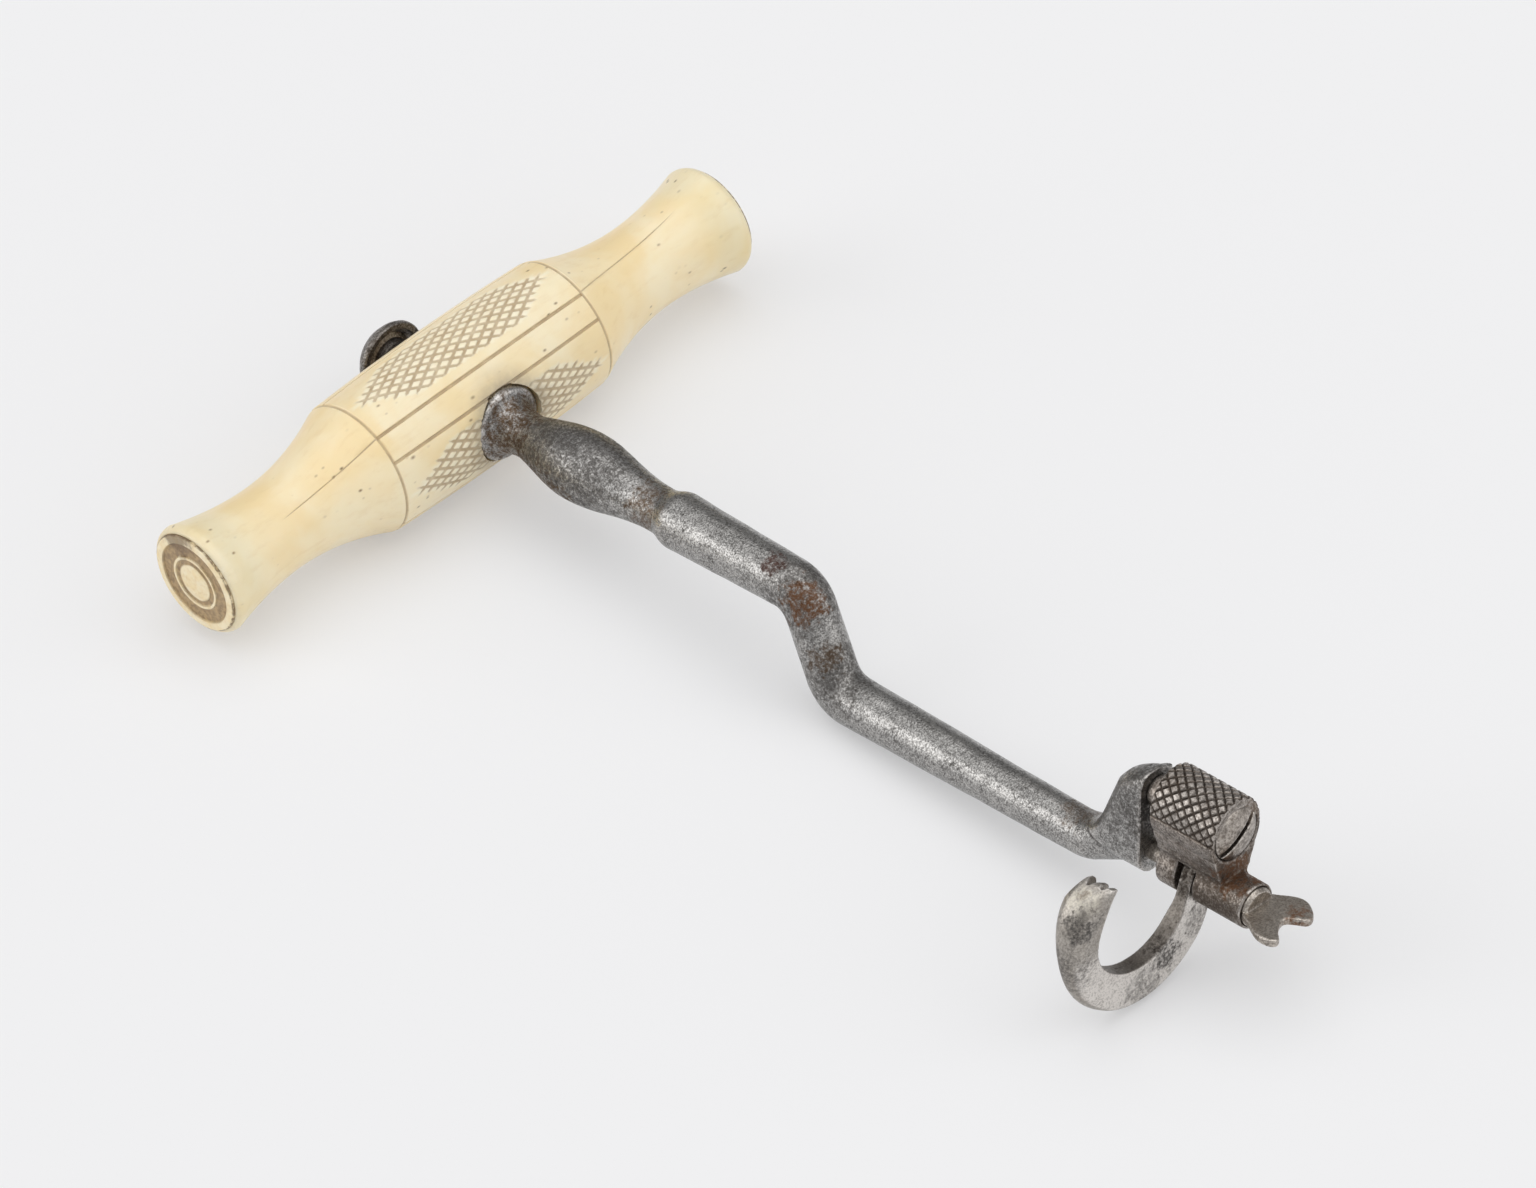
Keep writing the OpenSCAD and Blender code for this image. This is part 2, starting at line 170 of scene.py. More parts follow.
def in_mm(tree, stretch=(1, 1, 1)):
    """Object coordinates in millimetres in the key's frame, about the crossing of handle and shank."""
    coords = tree.nodes.new("ShaderNodeTexCoord").outputs["Object"]
    moved = Matrix.Rotation(-lie, 3, "X") @ crossing / MM
    laid = shader_node(tree, "ShaderNodeMapping", {
        "Vector": coords, "Location": -moved, "Rotation": (-lie, 0, 0),
        "Scale": (1 / MM,) * 3}).outputs["Vector"]
    if stretch == (1, 1, 1):
        return laid
    return shader_node(tree, "ShaderNodeMapping", {"Vector": laid, "Scale": stretch}).outputs["Vector"]


def new_group(name, inputs, outputs):
    """An empty node group: places come in as vectors, all else comes in and goes out as numbers."""
    tree = bpy.data.node_groups.new(name, "ShaderNodeTree")
    for label in inputs:
        kind = "NodeSocketVector" if label in ("Position", "Centre") else "NodeSocketFloat"
        tree.interface.new_socket(label, in_out="INPUT", socket_type=kind)
    for label in outputs:
        tree.interface.new_socket(label, in_out="OUTPUT", socket_type="NodeSocketFloat")
    return tree, tree.nodes.new("NodeGroupInput").outputs, tree.nodes.new("NodeGroupOutput").inputs


def use_group(tree, group, sockets):
    return shader_node(tree, "ShaderNodeGroup", sockets, node_tree=group).outputs


def make_patch_group():
    """A patch about one place, with a ragged edge, for stains and for painted shade and highlights."""
    tree, given, out = new_group(
        "stain_and_light_patch", ("Position", "Centre", "Radius", "Ragged", "Grain"), ("Mask",))
    away = measured(tree, "DISTANCE", given["Position"], given["Centre"])
    near = minus(tree, 1.0, sums(tree, "DIVIDE", away, given["Radius"]))
    break_up = minus(tree, noise(tree, given["Position"], given["Grain"], 4, 0.65), 0.5)
    value = plus(tree, near, times(tree, break_up, given["Ragged"]))
    tree.links.new(between(tree, value, 0.0, 0.45), out["Mask"])
    return tree


def make_pitting_group():
    """Salt and pepper pitting of old steel: a brightness mask, dark pits and a height."""
    tree, given, out = new_group("old_steel_pitting", ("Position", "Fine"), ("Bright", "Pits", "Height"))
    where = given["Position"]
    fine = noise(tree, where, given["Fine"], 2, 0.6)
    grit = noise(tree, where, times(tree, given["Fine"], 0.4), 3, 0.6)
    cloud = noise(tree, where, 0.35, 3, 0.6, 0.4)
    bright = plus(tree, times(tree, fine, 0.62), times(tree, grit, 0.24))
    bright = plus(tree, bright, times(tree, cloud, 0.14))
    tree.links.new(between(tree, bright, 0.38, 0.64), out["Bright"])
    deep = plus(tree, times(tree, grit, 0.7), times(tree, cloud, 0.3))
    pits = minus(tree, 1.0, between(tree, deep, 0.33, 0.42))
    tree.links.new(pits, out["Pits"])
    height = minus(tree, fine, times(tree, pits, 0.8))
    tree.links.new(height, out["Height"])
    return tree


def make_speck_group():
    """Small pores and specks of dirt, drawn out along the first axis."""
    tree, given, out = new_group("pores_and_specks", ("Position", "Scale", "Size", "Share"), ("Mask",))
    cells = shader_node(tree, "ShaderNodeTexVoronoi",
                        {"Vector": given["Position"], "Scale": given["Scale"]})
    spot = minus(tree, 1.0, between(tree, cells.outputs["Distance"], 0.0, given["Size"]))
    apart = shader_node(tree, "ShaderNodeSeparateColor", {"Color": cells.outputs["Color"]})
    chosen = sums(tree, "GREATER_THAN", given["Share"], apart.outputs[0])
    tree.links.new(times(tree, spot, chosen), out["Mask"])
    return tree


PATCH = make_patch_group()
PITTING = make_pitting_group()
SPECKS = make_speck_group()


def attribute(tree, name):
    return shader_node(tree, "ShaderNodeAttribute", attribute_name=name).outputs["Fac"]


def dress(tree, surface, **values):
    """Links values to the shader's sockets, or sets their constants, by their labels."""
    for label, value in values.items():
        feed(tree, surface.inputs[label.replace("_", " ").title()], value)


def new_material(name, **constants):
    material = bpy.data.materials.new(name)
    material.use_nodes = True
    tree = material.node_tree
    surface = tree.nodes["Principled BSDF"]
    dress(tree, surface, **constants)
    return material, tree, surface


def raised(tree, height, distance):
    bump = shader_node(tree, "ShaderNodeBump", {"Height": height, "Distance": distance})
    return bump.outputs["Normal"]


def off_axis(tree, apart, first, second):
    """The distance from an axis, from the two coordinates across it."""
    flat = shader_node(tree, "ShaderNodeCombineXYZ", {first: apart[first], second: apart[second]})
    return measured(tree, "LENGTH", flat.outputs[0])


# Colours of steel and bone, and how far dirt has smeared round the collar
PIT_DARK = (0.050, 0.045, 0.040)
BROWN_FILM = (0.135, 0.092, 0.060)
WORN_BRIGHT = (0.76, 0.72, 0.68)
# dark of dirt in grooves, also used as painted shade in gaps
GROOVE_AND_SHADE_DARK = (0.050, 0.038, 0.030)
BONE_PALE = (0.940, 0.820, 0.575)
BONE_CREAM = (0.900, 0.725, 0.420)
BONE_AMBER = (0.680, 0.470, 0.190)
BONE_WHITE = (0.960, 0.900, 0.720)
BONE_DIRT = (0.520, 0.400, 0.250)
BONE_SPECK = (0.240, 0.150, 0.070)
BONE_SMEAR = (0.420, 0.340, 0.230)
SMEAR_W = 3.2

# The plug's turned face: its browns, where its rim is chipped, and the edges of its rings and joint
PLUG_DEEP, PLUG_BROWN = (0.20, 0.115, 0.045), (0.46, 0.31, 0.15)
CHIP_BROWN, JOINT_BROWN = (0.17, 0.10, 0.045), (0.13, 0.075, 0.03)
PLUG_CHIP = (47.5, -2.5, 6.9)
PLUG_RINGS = ((3.85, 4.15, 5.8, 6.15), (2.55, 2.95, 3.35, 3.65))
PLUG_JOINT = (7.0, 7.25)


def make_bone():
    material, tree, surface = new_material(
        "old_bone", subsurface_weight=0.30, subsurface_scale=0.004, subsurface_radius=(1.0, 0.85, 0.65))
    where = in_mm(tree)
    along, short = in_mm(tree, (0.25, 1, 1)), in_mm(tree, (0.6, 1, 1))
    clouds = noise(tree, where, 0.09, 3, 0.55, 0.5)
    grain = noise(tree, along, 0.9, 4, 0.6)
    colour = mixed(tree, between(tree, clouds, 0.35, 0.7), BONE_PALE, BONE_CREAM)
    colour = tinted(tree, colour, between(tree, grain, 0.5, 0.75), 0.18, BONE_AMBER)
    # the ends have yellowed most, and the checkered panels least; the back half is darkened toward amber
    # as painted shade
    apart = shader_node(tree, "ShaderNodeSeparateXYZ", {0: where}).outputs
    end = between(tree, sums(tree, "ABSOLUTE", apart[0]), 38.0, 49.0)
    colour = tinted(tree, colour, end, 0.07, BONE_AMBER)
    # painted shade: the back half of the handle, turned from the front light, is tinted darker amber
    back_shade = between(tree, times(tree, apart[1], -1.0), -3.0, 8.0)
    colour = tinted(tree, colour, back_shade, 0.30, BONE_AMBER)
    colour = tinted(tree, colour, attribute(tree, "panel"), 0.6, BONE_WHITE)
    # pores and specks come in clusters
    cluster = between(tree, noise(tree, where, 0.14, 2, 0.5), 0.44, 0.58)
    for size, width, share in ((0.9, 0.26, 0.30), (0.42, 0.15, 0.25)):
        specks = use_group(tree, SPECKS, {
            "Position": short, "Scale": size, "Size": width, "Share": share})
        spots = times(tree, specks["Mask"], plus(tree, 0.12, cluster))
        colour = tinted(tree, colour, spots, 0.9, BONE_SPECK)
    # dirt lies in the incised lines and round the collar
    groove = attribute(tree, "groove")
    caught = noise(tree, where, 0.5, 3, 0.6)
    dirt = times(tree, between(tree, groove, 0.05, 0.65), plus(tree, 0.35, caught), True)
    colour = mixed(tree, dirt, colour, BONE_DIRT)
    off = off_axis(tree, apart, "X", "Z")
    ring = minus(tree, 1.0, between(tree, off, COLLAR_R, COLLAR_R + SMEAR_W))
    front = sums(tree, "GREATER_THAN", apart[1], 0.0)
    smear = times(tree, times(tree, ring, front), plus(tree, 0.1, caught))
    colour = mixed(tree, smear, colour, BONE_SMEAR)
    rough = plus(tree, 0.30, times(tree, groove, 0.3))
    dress(tree, surface, base_color=colour, roughness=rough, normal=raised(tree, grain, 0.00004))
    return material


def make_plug_bone():
    material, tree, surface = new_material("turned_plug_bone", roughness=0.42)
    where = in_mm(tree)
    apart = shader_node(tree, "ShaderNodeSeparateXYZ", {0: where}).outputs
    radius = off_axis(tree, apart, "Y", "Z")
    clouds = noise(tree, where, 0.5, 4, 0.6, 0.5)
    mottle = noise(tree, where, 1.6, 4, 0.65)
    r = plus(tree, radius, times(tree, minus(tree, clouds, 0.5), 0.35))
    outer, inner = (times(tree, between(tree, r, a, b), minus(tree, 1.0, between(tree, r, c, d)))
                    for a, b, c, d in PLUG_RINGS)
    uneven = plus(tree, 0.35, between(tree, mottle, 0.35, 0.6))
    joint = times(tree, between(tree, r, *PLUG_JOINT), uneven, True)
    ring = sums(tree, "MAXIMUM", outer, inner)
    colour = mixed(tree, between(tree, clouds, 0.35, 0.7), BONE_PALE, BONE_CREAM)
    colour = tinted(tree, colour, between(tree, mottle, 0.45, 0.8), 0.5, BONE_AMBER)
    brown = mixed(tree, between(tree, mottle, 0.3, 0.7), PLUG_DEEP, PLUG_BROWN)
    colour = tinted(tree, colour, ring, 0.92, brown)
    chipped = use_group(tree, PATCH, {"Position": where, "Centre": PLUG_CHIP, "Radius": 4.0,
                                      "Ragged": 1.6, "Grain": 0.6})["Mask"]
    colour = tinted(tree, colour, chipped, 0.75, CHIP_BROWN)
    colour = tinted(tree, colour, joint, 0.85, JOINT_BROWN)
    turned = raised(tree, minus(tree, mottle, ring), 0.00012)
    dress(tree, surface, base_color=colour, normal=turned)
    return material


def make_steel(name, light, dark, roughness, stains_and_painted_light=(), fine=3.6, brown=0.0, edges=0.38):
    """Old steel: light and dark grey in fine pits, bright on worn edges, with stains and dirt, and
    patches of painted shade and highlight.

    A stain or painted patch is its centre, its radius, its colour and its strength.
    """
    material, tree, surface = new_material(name, metallic=1.0)
    where = in_mm(tree)
    pitting = use_group(tree, PITTING, {"Position": where, "Fine": fine})
    colour = mixed(tree, pitting["Bright"], dark, light)
    colour = tinted(tree, colour, pitting["Pits"], 0.5, PIT_DARK)
    dull = minus(tree, roughness + 0.10, times(tree, pitting["Bright"], 0.10))
    rough = plus(tree, dull, times(tree, pitting["Pits"], 0.2))
    film = between(tree, noise(tree, where, 0.22, 4, 0.6, 0.6), 0.42, 0.72)
    colour = tinted(tree, colour, film, brown, BROWN_FILM)
    worn = times(tree, attribute(tree, "worn"), plus(tree, 0.5, pitting["Bright"]), True)
    colour = tinted(tree, colour, worn, edges, WORN_BRIGHT)
    for centre, radius, tint, strength in stains_and_painted_light:
        mask = use_group(tree, PATCH, {"Position": where, "Centre": centre, "Radius": radius,
                                       "Ragged": 2.2, "Grain": 0.7})["Mask"]
        broken = between(tree, noise(tree, where, 1.9, 4, 0.7), 0.30, 0.62)
        mask = times(tree, mask, times(tree, broken, strength))
        colour = mixed(tree, mask, colour, tint)
        rough = plus(tree, rough, times(tree, mask, 0.25))
    # the groove mark darkens dirt in hollows and cuts, and carries painted shade in the gap round the
    # slotted screw's head and on its slot's floor
    cut = attribute(tree, "groove")
    colour = tinted(tree, colour, cut, 0.9, GROOVE_AND_SHADE_DARK)
    rough = plus(tree, rough, times(tree, cut, 0.2))
    pitted = raised(tree, pitting["Height"], 0.000035)
    dress(tree, surface, base_color=colour, roughness=rough, normal=pitted)
    return material


# Mesh helpers, with their distances in millimetres
WELD = 0.002
FINE_WELD = 0.0005
SLIVER = 0.004
WEAR_PASSES, WEAR_FULL = 12, 0.05


def activate(obj):
    bpy.ops.object.select_all(action="DESELECT")
    obj.select_set(True)
    bpy.context.view_layer.objects.active = obj


@contextmanager
def editing(obj):
    activate(obj)
    bpy.ops.object.mode_set(mode="EDIT")
    yield
    bpy.ops.object.mode_set(mode="OBJECT")


def vectors(items, what):
    """One vector for each of a mesh's points or faces."""
    flat = np.empty(len(items) * 3)
    items.foreach_get(what, flat)
    return flat.reshape(-1, 3)


def get_points(obj):
    return vectors(obj.data.vertices, "co")


def face_middles(obj):
    """The x and the y of the middle of each face."""
    return vectors(obj.data.polygons, "center").T[:2]


def set_points(obj, points):
    obj.data.vertices.foreach_set("co", np.ascontiguousarray(points).ravel())
    obj.data.update()


def score(obj, chosen, point, normal):
    """Cuts the chosen faces, a flag for each, along a plane, as with a knife."""
    if not np.any(chosen):
        return
    mesh = obj.data
    bpy.context.tool_settings.mesh_select_mode = (False, False, True)
    for items in (mesh.vertices, mesh.edges):
        items.foreach_set("select", np.zeros(len(items), bool))
    mesh.polygons.foreach_set("select", chosen)
    with editing(obj):
        bpy.ops.mesh.bisect(plane_co=point, plane_no=normal)


def weld(obj, distance=WELD):
    with editing(obj):
        bpy.ops.mesh.select_all(action="SELECT")
        bpy.ops.mesh.remove_doubles(threshold=distance)
        bpy.ops.mesh.normals_make_consistent(inside=False)


def close_up(obj):
    """Removes the slivers that cutting leaves, so that nothing is folded on the skin."""
    with editing(obj):
        bpy.ops.mesh.select_all(action="SELECT")
        bpy.ops.mesh.remove_doubles(threshold=SLIVER)
        bpy.ops.mesh.quads_convert_to_tris(quad_method="BEAUTY", ngon_method="BEAUTY")
        bpy.ops.mesh.dissolve_degenerate(threshold=SLIVER)


def close_borders(obj, fill):
    """Closes the skin's open borders with one of the fill operators, and turns it outward."""
    with editing(obj):
        bpy.ops.mesh.select_all(action="DESELECT")
        bpy.ops.mesh.select_mode(type="EDGE")
        bpy.ops.mesh.select_non_manifold(extend=False, use_boundary=True, use_wire=False,
                                         use_multi_face=False, use_non_contiguous=False, use_verts=False)
        fill()
        bpy.ops.mesh.select_all(action="SELECT")
        bpy.ops.mesh.normals_make_consistent(inside=False)


def keep_mark(obj, name, values):
    mark = obj.data.attributes.get(name) or obj.data.attributes.new(name, "FLOAT", "POINT")
    mark.data.foreach_set("value", np.ascontiguousarray(values, dtype=np.float32))


def raise_mark(obj, name, values):
    """Keeps the higher of the mark's old values and these."""
    old = np.empty(len(obj.data.vertices), dtype=np.float32)
    obj.data.attributes[name].data.foreach_get("value", old)
    keep_mark(obj, name, np.maximum(old, values))


def mark_wear(obj):
    """Marks convex edges as worn and hollows as dirty, by how far smoothing would move each point."""
    mesh = obj.data
    points, normals = get_points(obj), vectors(mesh.vertices, "normal")
    pairs = np.empty(len(mesh.edges) * 2, dtype=np.int64)
    mesh.edges.foreach_get("vertices", pairs)
    first, second = pairs.reshape(-1, 2).T
    count = np.bincount(pairs, minlength=len(points))[:, None].clip(1)
    even = points.copy()
    for _ in range(WEAR_PASSES):
        total = np.zeros_like(even)
        for k in range(3):
            total[:, k] = (np.bincount(first, even[second, k], len(points))
                           + np.bincount(second, even[first, k], len(points)))
        even = (even + total / count) / 2
    proud = ((points - even) * normals).sum(axis=1)
    keep_mark(obj, "worn", np.clip(proud / WEAR_FULL - 0.2, 0, 1))
    keep_mark(obj, "groove", np.clip(-proud / WEAR_FULL - 0.25, 0, 1) * 0.8)


def new_mesh(name, add, **settings):
    """Starts a piece with one of the mesh operators."""
    bpy.ops.object.select_all(action="DESELECT")
    add(**settings)
    made = bpy.context.object
    made.name = name
    return made


def new_grid(name, across, up):
    """A flat grid of across by up faces, with the column and the row of each point."""
    sheet = new_mesh(name, bpy.ops.mesh.primitive_grid_add,
                     x_subdivisions=across, y_subdivisions=up, size=2)
    x, y, _ = get_points(sheet).T
    column = np.rint((x + 1) / 2 * across).astype(int)
    row = np.rint((y + 1) / 2 * up).astype(int)
    return sheet, column, row


def lofted(name, rings):
    """A skin over a row of closed rings of points, closed at both ends."""
    columns = len(rings[0])
    skin, column, row = new_grid(name, columns, len(rings) - 1)
    set_points(skin, np.array(rings)[row, column % columns])
    weld(skin)
    close_borders(skin, bpy.ops.mesh.edge_face_add)
    return skin


def new_copy(obj, name):
    copy = bpy.data.objects.new(name, obj.data.copy())
    bpy.context.scene.collection.objects.link(copy)
    return copy


def joined(pieces):
    bpy.ops.object.select_all(action="DESELECT")
    for piece in pieces:
        piece.select_set(True)
    bpy.context.view_layer.objects.active = pieces[0]
    bpy.ops.object.join()
    return pieces[0]


def solid_rod(name, radius, y0, y1):
    """A rod along the Y axis."""
    rod = new_mesh(name, bpy.ops.mesh.primitive_cylinder_add, vertices=64, radius=radius, depth=y1 - y0,
                   location=(0, (y0 + y1) / 2, 0), rotation=(math.pi / 2, 0, 0))
    bpy.ops.object.transform_apply()
    return rod


def ease(value, low, high):
    t = np.clip((value - low) / (high - low), 0, 1)
    return t * t * (3 - 2 * t)


def finish_piece(obj, place, body, material, smooth_angle=40):
    """Lays the piece in its place, smooths it and hands it to its body."""
    obj.data.transform(place)
    obj.data.update()
    activate(obj)
    bpy.ops.object.shade_smooth_by_angle(angle=math.radians(smooth_angle))
    obj.data.materials.clear()
    obj.data.materials.append(material)
    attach(obj, body)
    return obj


def use_modifiers(obj):
    activate(obj)
    for modifier in list(obj.modifiers):
        bpy.ops.object.modifier_apply(modifier=modifier.name)


# The handle
LINE_W = 0.62
LINE_DEPTH = 0.24
BAND_HALF = math.radians(12)
PANEL_TURN = math.radians(-1.5)
PANEL_TIP = 17.4
PANEL_HALF = 4.1
CHECK_ANGLE = math.radians(28)
CHECK_PITCH = 1.22
CHECK_W = 0.68
CHECK_DEPTH = 0.17
CRACK_W = 0.24
CRACK_DEPTH = 0.10
COLLAR_R = 5.3
COLLAR_SINK = 2.0
HUB_R = 3.0
KNOB_SINK = 0.8
# how far to each side of a line the faces are that its cuts go through
PANEL_REACH, LINE_REACH, BORDER_REACH = 1.6, 1.5, 1.2


def barrel_at(x):
    return MID_R - BARREL_DROP * (x / RING_X) ** 2


def half_outline():
    """The handle's outline from its middle to its end: reach along the surface, x and radius."""
    shoulder = barrel_at(RING_X)
    points = [(x, barrel_at(x)) for x in np.linspace(0, RING_X - LINE_W / 2, 19)]
    points += [(RING_X - 0.12, shoulder - LINE_DEPTH * 0.8), (RING_X, shoulder - LINE_DEPTH),
               (RING_X + 0.12, shoulder - LINE_DEPTH * 0.8)]
    for t in np.linspace(0.02, 1, 20):
        points.append((RING_X + (WAIST_X - RING_X) * t, WAIST_R + (shoulder - WAIST_R) * (1 - t) ** 2))
    for t in np.linspace(0.05, 1, 18):
        points.append((WAIST_X + (RIM_X - WAIST_X) * t, WAIST_R + (RIM_R - WAIST_R) * t ** 1.9))
    for a in np.radians(np.linspace(10, 90, 8)):
        points.append((RIM_X + (HALF_LENGTH - RIM_X) * math.sin(a),
                       JOINT_R + (RIM_R - JOINT_R) * math.cos(a)))
    points += [(HALF_LENGTH - 0.05, JOINT_R - 0.08), (HALF_LENGTH - 0.4, JOINT_R - 0.1),
               (HALF_LENGTH - 0.4, BORE_R), (HALF_LENGTH - BORE_DEPTH, BORE_R)]
    steps = np.array(points)
    # on the outside the reach is x itself; past the rim it runs on along the outline
    reach = steps[:, 0].copy()
    rim = int(np.argmax(steps[:, 0] > RIM_X + 0.01))
    for k in range(rim, len(steps)):
        reach[k] = reach[k - 1] + np.hypot(*(steps[k] - steps[k - 1]))
    return reach, *steps.T


def in_panel(x, s, spare):
    """Whether a point of a quarter is in the checkered lozenge, or within spare of it."""
    tips = np.abs(x) * math.tan(CHECK_ANGLE) + np.abs(s) <= PANEL_TIP * math.tan(CHECK_ANGLE) + spare
    return tips & (np.abs(s) <= PANEL_HALF + spare)


def off_lines(across, pitch):
    """How far each point is from the nearest of evenly spaced lines."""
    return np.abs((across + pitch / 2) % pitch - pitch / 2)


def check_depth(x, s):
    """0 to 1: how near the surface point is to the bottom of a checkering line."""
    across, along = s * math.cos(CHECK_ANGLE), x * math.sin(CHECK_ANGLE)
    nearest = np.minimum(off_lines(across + along, CHECK_PITCH), off_lines(across - along, CHECK_PITCH))
    edge = PANEL_TIP * math.tan(CHECK_ANGLE) - np.abs(x) * math.tan(CHECK_ANGLE) - np.abs(s)
    room = np.minimum(edge, PANEL_HALF - np.abs(s))
    fade = np.clip(0.5 + room / 0.5, 0, 1)
    return np.clip(1 - nearest / (CHECK_W / 2), 0, 1) * fade


def make_quarter(reach):
    """A quarter of the handle's surface, laid flat: x is the reach, y the distance round."""
    columns = 33  # of points
    rows = np.concatenate([-reach[:0:-1], reach])
    around = np.linspace(-math.pi / 4, math.pi / 4, columns) * MID_R
    sheet, row, column = new_grid("carved_handle", len(rows) - 1, columns - 1)
    set_points(sheet, np.column_stack([rows[row], around[column], np.zeros(len(row))]))
    # the knife goes three times along each line of the panel: the bottom and the two edges
    count = int(PANEL_TIP * math.sin(CHECK_ANGLE) / CHECK_PITCH)
    for side in (-1, 1):
        normal = Vector((-side * math.sin(CHECK_ANGLE), math.cos(CHECK_ANGLE), 0))
        for offset in [k * CHECK_PITCH for k in range(-count, count + 1)]:
            for edge in (-CHECK_W / 2, 0, CHECK_W / 2):
                x, y = face_middles(sheet)
                near = np.abs(y * normal.y + x * normal.x - offset) < PANEL_REACH
                score(sheet, in_panel(x, y, 0.6) & near, normal * (offset + edge), normal)
    # and along the two lines that bound the plain bands
    for side in (-1, 1):
        for edge in (-LINE_W / 2, -LINE_W / 6, LINE_W / 6, LINE_W / 2):
            s = side * (math.pi / 4 - BAND_HALF) * MID_R + edge
            x, y = face_middles(sheet)
            chosen = (np.abs(x) < RING_X) & (np.abs(y - s) < LINE_REACH)
            score(sheet, chosen, (0, s, 0), (0, 1, 0))
    return sheet


def line_depth(x, s):
    """0 to 1: the bottom of the two lines beside the bands, on a quarter."""
    off = np.abs(np.abs(s) - (math.pi / 4 - BAND_HALF) * MID_R)
    groove = np.clip((LINE_W / 2 - off) / (LINE_W / 3), 0, 1)
    return groove * (np.abs(x) < RING_X - 0.1)


# Drying cracks run on from the upper line along both waists: (x, turn in degrees) from and to.
# Their width holds at a waist's middle radius.
CRACK_R = 8.0
CRACKS = (((19.0, 55.7), (36.0, 46.0)), ((-19.0, 57.5), (-41.0, 78.8)))


def crack_depth(x, turn):
    deep = np.zeros(x.shape)
    for (x0, a0), (x1, a1) in CRACKS:
        t = (x - x0) / (x1 - x0)
        middle = np.radians(a0 + (a1 - a0) * t)
        off = np.abs(turn - middle) * CRACK_R
        inside = np.clip(1 - off / (CRACK_W / 2), 0, 1)
        deep = np.maximum(deep, inside * (t >= 0) * np.clip((1 - t) * 4, 0, 1))
    return deep


def make_handle():
    reach, xs, radii = half_outline()
    sheet = make_quarter(reach)
    quarter = math.pi / 2 * MID_R
    copies = [sheet]
    for k in (1, 2, 3):
        twin = new_copy(sheet, "quarter")
        twin.data.transform(Matrix.Translation((0, k * quarter, 0)))
        copies.append(twin)
    joined(copies)
    weld(sheet)
    # the cracks are scored into the whole surface
    for (x0, a0), (x1, a1) in CRACKS:
        start = Vector((x0, (math.radians(a0) - PANEL_TURN) * MID_R, 0))
        stop = Vector((x1, (math.radians(a1) - PANEL_TURN) * MID_R, 0))
        normal = Vector((start.y - stop.y, stop.x - start.x, 0)).normalized()
        for edge in (-CRACK_W / 2, 0, CRACK_W / 2):
            x, y = face_middles(sheet)
            t = (x - x0) / (x1 - x0)
            off = np.abs((x - start.x) * normal.x + (y - start.y) * normal.y)
            score(sheet, (t > -0.02) & (t < 1.05) & (off < LINE_REACH), start + normal * edge, normal)
    # now the flat sheet is wrapped round the handle's axis
    u, s, _ = get_points(sheet).T
    local = (s + quarter / 2) % quarter - quarter / 2
    turn = s / MID_R + PANEL_TURN
    away = np.abs(u)
    x = np.sign(u) * np.interp(away, reach, xs)
    radius = np.interp(away, reach, radii)
    checks = check_depth(u, local) * in_panel(u, local, 0.3)
    lines = line_depth(u, local)
    cracks = crack_depth(x, turn) * (away < RIM_X)
    radius = radius - checks * CHECK_DEPTH - lines * LINE_DEPTH - cracks * CRACK_DEPTH
    ring = np.clip(1 - np.abs(away - RING_X) / (LINE_W / 2), 0, 1)
    set_points(sheet, np.column_stack([x, radius * np.cos(turn), radius * np.sin(turn)]))
    keep_mark(sheet, "groove", np.maximum.reduce([checks, lines, cracks * 1.2, ring * 0.9]))
    keep_mark(sheet, "panel", in_panel(u, local, 0.1) * 1.0)
    weld(sheet)
    close_borders(sheet, bpy.ops.mesh.edge_face_add)
    weld(sheet, FINE_WELD)
    # the flat that the collar bears on, and the knob's behind
    cut_away(sheet, solid_rod("collar_seat", COLLAR_R + 0.2, MID_R - COLLAR_SINK, MID_R + 2))
    cut_away(sheet, solid_rod("knob_seat", HUB_R + 0.3, -MID_R - 2, -MID_R + KNOB_SINK))
    close_up(sheet)
    return sheet


# The head, in its own frame: Y along the shank, the bolster screw's axis at the origin
POST_Y = 125.3
BLOCK_Y = 127.9
BLOCK_END = 138.4
TUBE_DROP = 9.3
BARREL_R = 5.1
SLEEVE_HALF = math.radians(124)
SLEEVE_IN = 4.6
KNURL_HALF = math.radians(92)
KNURL_PITCH = 1.16
KNURL_W = 0.50
KNURL_DEPTH = 0.19
EDGE_R = 0.3
SCREW_HEAD_R = 3.7
SLOT_W, SLOT_TURN = 0.85, math.radians(36)
BOSS_R = 2.2
SEAT_R, SEAT_OUT = 4.86, 6.0
SLIM = 0.12
# below these heights the barrel's flanks run out into the neck
NECK_FADE = (-6.0, -2.5)
# a radius that clears the whole head
CLEAR = 9.0

# Sizes of the even faces that a soften makes, by piece; a second one follows the cuts
SHANK_VOXEL = 0.22
BLOCK_VOXELS = (0.15, 0.14)
CLAW_VOXELS = (0.13, 0.12)
SCREW_VOXEL = 0.10

# The post, up to its crown: height and where its back lies
POST_BACK = ((-12.1, 121.0), (-11, 117.6), (-9.6, 114.8), (-8, 116.6), (-6, 117.6), (-3, 118.7),
             (0, 119.9), (1.5, 121.2), (2.5, 122.8), (3.2, 124.9))
POST_TOP = 3.25
POST_HALF = 2.95
POST_X = 0.25
POST_ROUND = 2.8
POST_LEVELS = 28
DOME_POWER = 2.6

# The claw, about its screw, with the hook toward +X
CLAW_Y = 132.5
CLAW_T = 2.6
TIP_W = 5.4
HOOK_OUT, HOOK_OUT_R = Vector((11.3, 0.6)), 13.55
HOOK_IN, HOOK_IN_R = Vector((11.5, 1.5)), 8.9
HOOK_ROOT, TIP_TURN = -172, 47.5
TOOTH_EDGE = 0.45
EYE_R, EYE_HOLE_R, EYE_INSET = 2.5, 1.45, 0.3
TIP_X = 17.8
